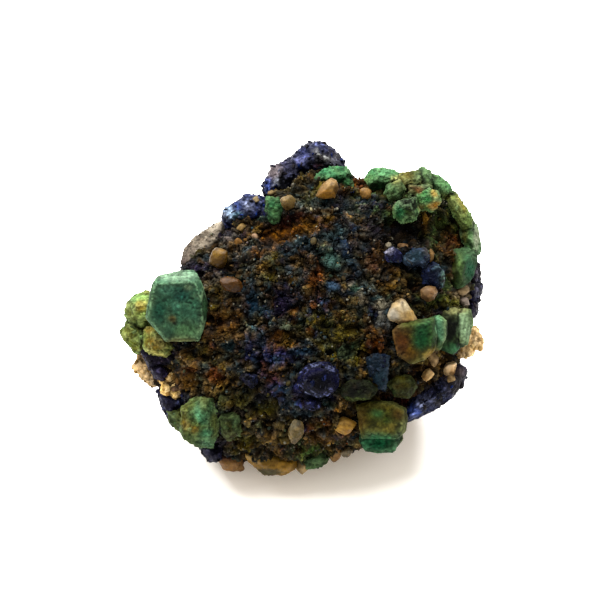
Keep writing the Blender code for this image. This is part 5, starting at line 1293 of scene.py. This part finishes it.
T = BODY[F6]
area = np.linalg.norm(np.cross(T[:, 1] - T[:, 0], T[:, 2] - T[:, 0]), axis=1)
area = area / area.sum()
rnd = np.random.RandomState(77)
grains = []
for tries, r_low, r_high, share in ((9000, 0.50, 0.86, 0.74), (16000, 0.34, 0.50, 0.76), (30000, 0.18, 0.32, 0.84)):
    pick = rnd.choice(len(F6), tries, p=area)
    ab = np.sort(rnd.uniform(size=(tries, 2)), axis=1)
    P = T[pick, 0] * ab[:, :1] + T[pick, 1] * (ab[:, 1:] - ab[:, :1]) + T[pick, 2] * (1 - ab[:, 1:])
    Nn = BODY_N[F6[pick]].mean(axis=1)
    Nn /= np.linalg.norm(Nn, axis=1)[:, None]
    radius = rnd.uniform(r_low, r_high, tries)
    busy = taken(P, 0.05) | (P @ UP - BASE_Z < 0.15)
    W = rock_weights(P, Nn)
    patch = (0.5 + 1.6 * fbm(P, 0.42, 2, 85)) % 1
    for i in np.flatnonzero(~busy):
        r = radius[i]
        if not crowd.free(P[i], r, share):
            continue
        crowd.put(P[i], r)
        where = (patch[i] + 0.22 * rnd.normal()) % 1
        rock_name = NAMES[min(np.searchsorted(np.cumsum(W[i]), where), len(NAMES) - 1)]
        shares = np.array([s for s, _, _ in ROCK[rock_name][0]], float)
        _, tint, gloss = ROCK[rock_name][0][rnd.choice(len(shares), p=shares / shares.sum())]
        here = W[i] @ CEMENT
        colour = (lin(*tint) * 0.7 + here * 0.3) * rnd.uniform(0.55, 1.35)
        grains.append((P[i], Nn[i], r, colour, gloss, rock_name, here))
print("grains", len(grains))

# the rock's own surface, fine over the face and coarser behind
D7, F7 = ICO[7]
DR, FR = refine(D7, F7, D7[F7].mean(axis=1)[:, 2] > 0.075)
ROCK_P = seated(np.array([body_point(Vector(d))[:] for d in DR]) + CENTRE)
ROCK_N = normals_of(ROCK_P, FR)
near_points = KDTree(len(ROCK_P))
for i, p in enumerate(ROCK_P):
    near_points.insert(p, i)
near_points.balance()
weights = rock_weights(ROCK_P, ROCK_N)
cement = weights @ CEMENT
hollow = smooth(0.05, 0.5, fbm(ROCK_P, 0.38, 3, 60))
depth = -0.36 + 0.75 * fbm(ROCK_P, 0.36, 3, 60) + 0.45 * fbm(ROCK_P, 0.9, 3, 61) + 0.2 * fbm(ROCK_P, 2.0, 2, 62) - 0.5 * hollow
depth += 0.16 * (0.5 - np.abs(fbm(ROCK_P, 1.5, 3, 68)) * 2)
# the rock is a mosaic of little grains of three sizes
shift = 0.5 + 1.6 * fbm(ROCK_P, 0.42, 2, 85)
colour_here, gloss_here = np.zeros_like(ROCK_P), np.zeros(len(ROCK_P))
chips = np.zeros(len(ROCK_P))
tone_here = np.zeros(len(ROCK_P))
bent = ROCK_P + 0.22 * np.column_stack([fbm(ROCK_P + k * 31.0, 1.1, 3, 44 + k) for k in range(3)])
for scale, share, tone, seed, height in ((0.55, 0.45, 0.55, 40, 0.42), (1.05, 0.55, 0.60, 41, 0.30), (2.1, 0, 0.42, 42, 0.14), (4.2, 0, 0.34, 43, 0.07)):
    _, margin, way, own = cells(bent, scale, seed)
    if share:
        tint, shine = of_palette(weights, (shift + 0.42 * own[:, 0]) % 1, own[:, 1] * 0.5 + 0.5)
        colour_here += share * tint
        gloss_here += share * shine * (0.6 + 0.6 * np.abs(own[:, 2]))
    # darker along the edges of the little grains, where the surface is sunk too: dark joints and painted shade in the
    # grooves
    tone_here += tone * own[:, 2] - 0.42 * tone * (1 - smooth(0.0, 0.18, margin))
    chips += height * ((way * own).sum(axis=1) * 1.2 + 0.5 * own[:, 2] - 0.45 * (1 - smooth(0, 0.22, margin)))
colour_here *= np.exp(tone_here + 0.12)[:, None]
colour_here = colour_here * 0.86 + cement * 0.14
rise_of_grain = np.zeros(len(ROCK_P))
loose = []
SET_IN = [k for k, g in enumerate(NOTABLE) if g[7] < 0.45]
face_rnd, back_rnd = rnd, np.random.RandomState(9)
for k, (c, n, r, colour, gloss, rock_name, here) in enumerate(grains + [
        (marked[k][0], marked[k][1], 0.5 * (NOTABLE[k][2] + NOTABLE[k][3]) * GRID, lin(*NOTABLE[k][5]), NOTABLE[k][6], k, None) for k in SET_IN]):
    behind = here is not None and n[2] < -0.1
    rnd = back_rnd if behind else face_rnd
    if here is not None and rnd.uniform() < (0.3 if behind else 0 if r > 0.5 else 0.05 if r > 0.34 else 0.12):
        loose.append(k)
        continue
    a, b, t = r * rnd.uniform(1.05, 1.4), r * rnd.uniform(0.85, 1.15), rnd.uniform(0, 6.283)
    if here is None:
        a, b, t = NOTABLE[rock_name][2] * GRID * 1.05, NOTABLE[rock_name][3] * GRID * 1.05, math.radians(NOTABLE[rock_name][4])
    found = near_points.find_range(Vector(c), 1.35 * max(a, b))
    if not found:
        continue
    idx = np.array([f[1] for f in found])
    d = ROCK_P[idx] - c
    side = np.cross((0, 1.0, 0.02), n)
    side /= np.linalg.norm(side)
    u = d @ (side * math.cos(t) + np.cross(n, side) * math.sin(t)) / a
    v = d @ (np.cross(n, side) * math.cos(t) - side * math.sin(t)) / b
    ang = np.arctan2(v, u)
    far = np.hypot(u, v) * (1 + 0.13 * np.cos(2 * ang + rnd.uniform(0, 6)) + 0.10 * np.cos(3 * ang + rnd.uniform(0, 6)) + 0.06 * np.cos(5 * ang + rnd.uniform(0, 6)))
    dome = np.clip(1 - far ** rnd.uniform(2.2, 4.5), 0, None) ** 0.5
    top = rnd.uniform(-0.30, 0.22) + 0.10 * r + 0.5 * depth[idx].mean()
    if here is None:
        top = 0.32 + 0.3 * depth[idx].mean()
    h = top - (1 - dome) * min(0.95 * r, 0.6) + (rnd.uniform(-0.3, 0.3) * u + rnd.uniform(-0.3, 0.3) * v) * r
    win = (dome > 0) & (h > depth[idx])
    w = idx[win]
    if not len(w):
        continue
    depth[w] = h[win]
    clear = (rnd.uniform(0.15, 0.7) if here is not None else 0.92) * (1 - 0.7 * smooth(0.5, 1.0, far[win]))[:, None]
    if r < 0.34:
        colour = colour * 0.3 + 0.7 * colour_here[w].mean(axis=0) * rnd.uniform(0.5, 1.9)
    # round the grain's rim the rock's colour is darkened: painted shade where the grain meets the cement
    colour_here[w] = colour * clear + colour_here[w] * (1 - clear) * (1 - 0.35 * smooth(0.6, 1.0, far[win]))[:, None]
    gloss_here[w] = gloss * clear[:, 0] + gloss_here[w] * (1 - clear[:, 0])
    rise_of_grain[w] = dome[win]
rnd = face_rnd
depth += chips + 0.04 * fbm(ROCK_P, 1.9, 2, 66) + 0.03 * rnd.uniform(-1, 1, len(depth))
colour_here = bled(colour_here, FR, 9)
colour_here *= np.exp(0.9 * fbm(ROCK_P, 0.42, 2, 70) + 0.5 * fbm(ROCK_P, 2.6, 2, 71) + 0.45 * rnd.uniform(-1, 1, len(depth)) - 0.05)[:, None]
# iron stain, blue dust and pale frosting that run over grains and cement alike; the frosting keeps to the raised places
# and is partly painted highlight
stain = smooth(0.12, 0.42, fbm(ROCK_P, 0.75, 4, 72, 0.6))[:, None] * 0.5
colour_here = colour_here * (1 - stain) + lin(108, 78, 38) * stain
dust = smooth(0.14, 0.42, fbm(ROCK_P + 90, 0.9, 4, 73, 0.6))[:, None] * 0.5
colour_here = colour_here * (1 - dust) + lin(38, 62, 76) * dust
frost_and_highlight = smooth(0.15, 0.42, fbm(ROCK_P + 40, 2.3, 3, 74, 0.65))[:, None] * 0.5 * smooth(-0.35, 0.15, depth)[:, None]
colour_here = colour_here * (1 - frost_and_highlight) + lin(140, 134, 108) * frost_and_highlight
# painted shade: the rock is darker where its surface lies deep
colour_here *= 1 - 0.72 * smooth(-0.3, -1.1, depth)[:, None]
# streaks and patches of their own on the rock: grid x, grid y, half width, half height, turn, colour, strength
MARKS = [(268, 238, 8, 2.6, 28, (176, 118, 50), .6), (292, 230, 17, 3, 17, (190, 132, 60), .8), (322, 221, 14, 2.6, 16, (150, 118, 62), .7),
         (288, 221, 22, 3.5, 17, (70, 32, 12), .75), (318, 213, 14, 3.5, 14, (84, 60, 30), .6), (300, 241, 24, 3.2, 13, (58, 76, 82), .7), (381, 304, 7, 6, 0, (170, 164, 146), .8), (382, 322, 8, 4, 0, (150, 156, 158), .7), (426, 221, 5, 10, 0, (156, 120, 70), .8), (286, 182, 10, 7, 35, (128, 116, 88), .6), (463, 295, 8, 8, 0, (220, 200, 170), .9), (449, 302, 9, 7, 0, (134, 134, 80), .8), (446, 284, 6, 7, 0, (104, 130, 88), .8), (188, 382, 9, 7, 0, (150, 112, 66), .6), (228, 236, 8, 7, 0, (120, 118, 122), .6), (286, 341, 9, 7, 0, (116, 96, 52), .6),
         (332, 233, 12, 4, 10, (66, 84, 84), .6), (266, 244, 11, 7, 20, (44, 52, 54), .85), (330, 262, 9, 8, 0, (92, 124, 116), .7),
         (333, 287, 7, 4.5, 0, (84, 108, 136), .75), (282, 304, 9, 12, 0, (26, 20, 52), .8), (252, 298, 5, 16, 0, (30, 60, 80), .7),
         (313, 279, 3, 10, -8, (120, 76, 40), .5), (296, 262, 8, 6, 0, (120, 92, 50), .5), (262, 267, 7, 6, 0, (150, 110, 40), .5),
         (246, 300, 4, 10, 0, (96, 70, 40), .5), (222, 322, 9, 10, 0, (120, 82, 42), .5), (228, 346, 8, 5, 0, (52, 86, 96), .6),
         (250, 350, 5, 10, 0, (34, 48, 96), .5), (247, 364, 7, 5, 0, (96, 80, 48), .6), (262, 340, 8, 6, 0, (30, 48, 70), .6), (300, 334, 12, 4, 0, (100, 84, 48), .5),
         (284, 327, 6, 5, 0, (120, 132, 112), .6), (346, 330, 12, 6, 0, (126, 112, 56), .5), (344, 352, 9, 8, 0, (90, 110, 90), .5),
         (368, 330, 7, 5, 0, (120, 78, 42), .5), (300, 350, 12, 5, 0, (40, 66, 92), .6), (280, 352, 7, 5, 0, (34, 44, 100), .6),
         (352, 302, 5, 10, 0, (60, 64, 50), .5), (340, 245, 10, 6, 0, (52, 66, 74), .5), (318, 250, 8, 5, 0, (44, 52, 62), .5),
         (348, 205, 12, 8, 0, (48, 62, 68), .5), (326, 203, 8, 7, 0, (56, 70, 70), .5), (306, 200, 7, 6, 0, (84, 92, 70), .5),
         (372, 262, 6, 12, 0, (112, 72, 38), .5), (400, 275, 10, 5, 0, (96, 80, 44), .5), (268, 408, 12, 6, 0, (96, 92, 44), .5),
         (238, 400, 9, 8, 0, (88, 82, 46), .6), (300, 412, 8, 6, 0, (40, 60, 76), .5), (326, 404, 10, 4, 0, (60, 88, 72), .5),
         (358, 388, 6, 6, 0, (70, 74, 36), .5), (402, 402, 9, 4, 0, (72, 34, 20), .6), (284, 424, 12, 6, 0, (116, 104, 66), .5),
         (318, 440, 12, 7, 0, (130, 96, 56), .5), (248, 440, 14, 6, 0, (84, 84, 40), .5), (213, 372, 6, 10, 0, (176, 104, 44), .55),
         (205, 366, 6, 5, 0, (56, 88, 96), .6), (190, 370, 6, 5, 0, (160, 104, 50), .6), (452, 240, 7, 5, 0, (110, 52, 26), .6),
         (440, 222, 5, 10, 0, (70, 84, 44), .6), (430, 244, 5, 10, 0, (54, 74, 40), .6)]
gx, gy = grid_of(ROCK_P)
bend_a, bend_b = 5 * fbm(ROCK_P, 0.8, 3, 90), 5 * fbm(ROCK_P, 0.8, 3, 91)
for x, y, rx, ry, turn, tint, strength in MARKS:
    a = math.radians(turn)
    dx, dy = gx - x + bend_a, gy - y + bend_b
    u = (dx * math.cos(a) - dy * math.sin(a)) / rx
    v = (dx * math.sin(a) + dy * math.cos(a)) / ry
    k = (strength * (1 - smooth(0.5, 1.35, np.sqrt(u * u + v * v))) * smooth(-0.2, 0.2, ROCK_N[:, 2]))[:, None]
    here = colour_here.mean(axis=1, keepdims=True)
    tint = lin(*tint)
    # the tint takes over the hue, and half of the lightness
    wash = tint * (0.5 + 0.5 * here / max(np.average(here[:, 0], weights=k[:, 0] + 1e-9), 1e-6))
    colour_here = colour_here * (1 - k) + wash * k
# the iron stain is duller than it is deep
glow = (colour_here[:, 0] - colour_here[:, 2]) / np.maximum(colour_here.mean(axis=1), 1e-6)
colour_here *= (1 - 0.34 * smooth(1.3, 2.3, glow))[:, None]
flat = smooth(0.9, 0.25, ROCK_P @ UP - BASE_Z)
depth = np.where(depth > 0.1, 0.1 + 0.35 * np.tanh((depth - 0.1) / 0.35), depth)
shown = ROCK_P + ROCK_N * (depth * (1 - flat) - 0.05 * flat)[:, None]
rock = mesh_object("matrix_rock", seated(shown), FR, np.clip(colour_here, 0.0008, 1), np.clip(gloss_here, 0, 1), MATERIAL["matrix"],
                   soft=np.zeros(len(FR), bool))
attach(rock, "root")
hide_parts("matrix")
total += len(FR)
print("rock triangles", len(FR))

sand, hidden_sand, blue = Pile(), Pile(), Pile()
every_V, every_F, start = [shown], [FR[ROCK_N[FR[:, 0], 2] > -0.2]], len(shown)
for V, F in LAID:
    every_V.append(V)
    every_F.append(F + start)
    start += len(V)
SEEN = BVHTree.FromPolygons(np.concatenate(every_V).tolist(), np.concatenate(every_F).tolist())


def put_grain(pile, pos, n, half, turn, shape, colour, gloss, dark, soft=True, broken=0.16):
    """One grain on the skin: half sizes in mm across the face of the skin and into it, then a turn about its normal."""
    tv, tf = shape
    side = np.cross((0, 1.0, 0.02), n)
    side /= np.linalg.norm(side)
    other = np.cross(n, side)
    c, s = math.cos(turn), math.sin(turn)
    A = np.stack([side * c + other * s, other * c - side * s, n])
    P = (tv * np.array(half)) @ A
    if len(tv) > 100:
        P = P * (1 + broken * chipped((P + pos) * 1.0, 1.6, 91) * min(1, 0.5 / half[0]))[:, None]
    up = (P @ n) / max(half[2], 1e-6)
    # the grain's upper side shows its own colour and its lower side takes the dark tint: painted shade, and dirt where
    # the dark tint is the cement's colour
    clean_and_lit = smooth(-0.5, 0.85, up + 0.45 * pnoise(P * 2.2 + pos, 7))
    tint = colour[None, :] * clean_and_lit[:, None] + dark[None, :] * (1 - clean_and_lit[:, None])
    stained = (0.45 * smooth(0.0, 0.5, pnoise((P + pos) * 1.6, 8)))[:, None]
    tint = tint * (1 - stained) + lin(104, 76, 44) * stained
    pile.add(pos + P, tf, tint * np.exp(0.4 * pnoise((P + pos) * 2.4, 9) + 0.35 * pnoise((P + pos) * 5.4, 10))[:, None], gloss * (0.4 + 0.6 * clean_and_lit), soft)


for k, (gx, gy, a, b, turn, tint, gloss, lift) in enumerate(NOTABLE):
    if k in SET_IN:
        continue
    x, y = face_xy(gx, gy)
    hit, n, _, _ = SEEN.ray_cast(Vector((x, y, 40.0)), Vector((0, 0, -1)))
    if hit is None:
        continue
    pos, n = np.array(hit), np.array(n) * 0.35 + marked[k][1] * 0.65 + np.array((0, 0, 0.3))
    n /= np.linalg.norm(n)
    half = (a * GRID, b * GRID, 0.8 * (a + b) / 2 * GRID)
    shape = ANGULAR[3][k % len(ANGULAR[3])] if k % 3 else SAND[3][k % len(SAND[3])]
    # a darker copy of the grain's own colour for its lower side: painted shade
    put_grain(sand, pos + n * (lift * 0.4 - 0.65 * half[2] - 0.05), n, half, math.radians(turn), shape, lin(*tint), gloss, lin(*tint) * 0.3)

for k in loose:
    pos, n, r, colour, gloss, rock_name, here = grains[k]
    front = n[2] > -0.1
    half = (r * rnd.uniform(0.85, 1.3), r * rnd.uniform(0.75, 1.1), r * rnd.uniform(0.7, 1.0))
    sink = rnd.uniform(0.25, 0.75) * r + 0.12
    if rock_name in ("blue", "violet") and rnd.uniform() < 0.8:
        shape = BLADES[2][rnd.randint(12)]
        M = random_turn(rnd)
        put_grain(blue, pos - n * sink * 0.8, n, (r * 0.9,) * 3, 0, (shape[0] @ M.T, shape[1]), colour, min(1, gloss + 0.15), here, False)
        continue
    sub = 2
    family = SAND if rnd.uniform() < (0.35 if front else 0.12) else ANGULAR
    if not front:
        colour = (0.55 * colour + 0.45 * here) * 0.75
        colour = colour.mean() + (colour - colour.mean()) * 0.8
        sink += 0.3 * r
    if front and r > 0.5:
        sub = 3
    put_grain(sand if front else hidden_sand, pos - n * sink, n, half, rnd.uniform(0, 6.28), family[sub][rnd.randint(len(family[sub]))], colour, gloss, here,
              soft=bool(front and (family is SAND or sub == 3)), broken=0.16 if front else 0.4)

# crumbs: the smallest bits, lying thickly over everything in front
tries = 9000
T = ROCK_P[FR]
area = np.linalg.norm(np.cross(T[:, 1] - T[:, 0], T[:, 2] - T[:, 0]), axis=1) * smooth(-0.2, 0.1, ROCK_N[FR].mean(axis=1)[:, 2])
pick = rnd.choice(len(FR), tries, p=area / area.sum())
at = FR[pick, 0]
busy = taken(ROCK_P[at], -0.05)
W = weights[at]
crumbs = Pile()
for i in np.flatnonzero(~busy):
    v = at[i]
    n = ROCK_N[v]
    r = rnd.uniform(0.07, 0.17)
    rock_name = NAMES[rnd.choice(len(NAMES), p=W[i])]
    shares = np.array([s for s, _, _ in ROCK[rock_name][0]], float)
    _, tint, gloss = ROCK[rock_name][0][rnd.choice(len(shares), p=shares / shares.sum())]
    own = 0.12 if rnd.uniform() < 0.93 else 0.7
    colour = (lin(*tint) * own + colour_here[v] * (1 - own)) * rnd.uniform(0.6, 1.8)
    # a few pale crumbs scattered as painted glints
    if rnd.uniform() < 0.035:
        colour = lin(176, 172, 156) * rnd.uniform(0.5, 1.5)
    tv, tf = ANGULAR[1][rnd.randint(14)]
    crumbs.add(shown[v] + n * r * 0.2 + (tv * (r * rnd.uniform(0.7, 1.3, 3))) @ random_turn(rnd).T, tf, colour, gloss, False)

# and more thinly over the sides and back
area = np.linalg.norm(np.cross(T[:, 1] - T[:, 0], T[:, 2] - T[:, 0]), axis=1) * smooth(0.05, -0.25, ROCK_N[FR].mean(axis=1)[:, 2])
pick = rnd.choice(len(FR), 6000, p=area / area.sum())
at = FR[pick, 0]
busy = taken(ROCK_P[at], -0.05) | (ROCK_P[at] @ UP - BASE_Z < 0.4)
W = weights[at]
for i in np.flatnonzero(~busy):
    v = at[i]
    r = rnd.uniform(0.10, 0.27)
    rock_name = NAMES[rnd.choice(len(NAMES), p=W[i])]
    shares = np.array([s for s, _, _ in ROCK[rock_name][0]], float)
    _, tint, gloss = ROCK[rock_name][0][rnd.choice(len(shares), p=shares / shares.sum())]
    colour = (lin(*tint) * 0.25 + colour_here[v] * 0.75) * rnd.uniform(0.5, 1.6)
    tv, tf = ANGULAR[1][rnd.randint(14)]
    crumbs.add(shown[v] + ROCK_N[v] * r * 0.1 + (tv * (r * rnd.uniform(0.7, 1.3, 3))) @ random_turn(rnd).T, tf, colour, gloss, False)

for pile, name, kind in ((sand, "sand_face", "sand"), (crumbs, "sand_crumbs", "sand"), (hidden_sand, "sand_back", "sand"),
                         (blue, "azurite_grains", "azurite")):
    print(name, pile.tris())
    total += pile.tris()
    groups, now = [], Pile()
    for V, F, c, g, s in zip(pile.V, pile.F, pile.C, pile.G, pile.S):
        if now.tris() + len(F) > 195000:
            groups.append(now)
            now = Pile()
        now.add(V, F - F.min(), c, g, s)
    groups.append(now)
    for k, part in enumerate(groups):
        obj = part.object(name if k == 0 else f"{name}_{k + 1}", MATERIAL[kind])
        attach(obj, "root")
print("all triangles", total)

# ---------------------------------------------------------------- floor, light and camera
def floor_material():
    m = bpy.data.materials.new("pale_floor")
    m.use_nodes = True
    nt = m.node_tree
    p = nt.nodes["Principled BSDF"]
    p.inputs["Roughness"].default_value = 0.9
    p.inputs["Specular IOR Level"].default_value = 0.1
    p.inputs["Emission Color"].default_value = (1.0, 0.78, 0.52, 1)
    p.inputs["Emission Strength"].default_value = 0.17
    n = nt.nodes.new("ShaderNodeTexNoise")
    n.inputs["Scale"].default_value = 90
    r = nt.nodes.new("ShaderNodeMapRange")
    r.inputs["To Min"].default_value = 0.93
    r.inputs["To Max"].default_value = 0.96
    c = nt.nodes.new("ShaderNodeCombineColor")
    nt.links.new(n.outputs["Fac"], r.inputs["Value"])
    for k in ("Red", "Green", "Blue"):
        nt.links.new(r.outputs["Result"], c.inputs[k])
    nt.links.new(c.outputs["Color"], p.inputs["Base Color"])
    return m


bpy.ops.mesh.primitive_plane_add(size=4, location=(0, 0, 0))
floor = bpy.context.object
floor.name = "floor"
floor.data.materials.append(floor_material())

scene = bpy.context.scene
scene.view_settings.view_transform = "Standard"
world = bpy.data.worlds.new("studio")
scene.world = world
world.use_nodes = True
world.node_tree.nodes["Background"].inputs["Color"].default_value = (1.0, 0.95, 0.88, 1)
world.node_tree.nodes["Background"].inputs["Strength"].default_value = 1.15


def area_light(name, at, size, energy, colour=(1, 1, 1)):
    d = bpy.data.lights.new(name, "AREA")
    d.shape, d.size, d.size_y = "RECTANGLE", size[0], size[1]
    d.energy, d.color = energy, colour
    o = bpy.data.objects.new(name, d)
    o.location = at
    o.rotation_euler = (Vector((0, 0, 0.015)) - Vector(at)).to_track_quat("-Z", "Y").to_euler()
    scene.collection.objects.link(o)
    return o


area_light("key", (-0.1, 0.3, 0.62), (1.0, 0.8), 46.0, (1.0, 0.985, 0.96))

cam_data = bpy.data.cameras.new("camera")
cam_data.sensor_width = 36
cam_data.lens = 288
cam_data.clip_start, cam_data.clip_end = 0.01, 10
cam = bpy.data.objects.new("camera", cam_data)
aim = Vector(to_world(np.array([[(300 - MID[0]) * GRID, (MID[1] - 300) * GRID, 0.0]]))[0])
n = Vector(FACE[:, 2])
cam.matrix_world = Matrix.Translation(aim + n * 0.6) @ Matrix([list(FACE[i]) for i in range(3)]).to_4x4()
scene.collection.objects.link(cam)
scene.camera = cam
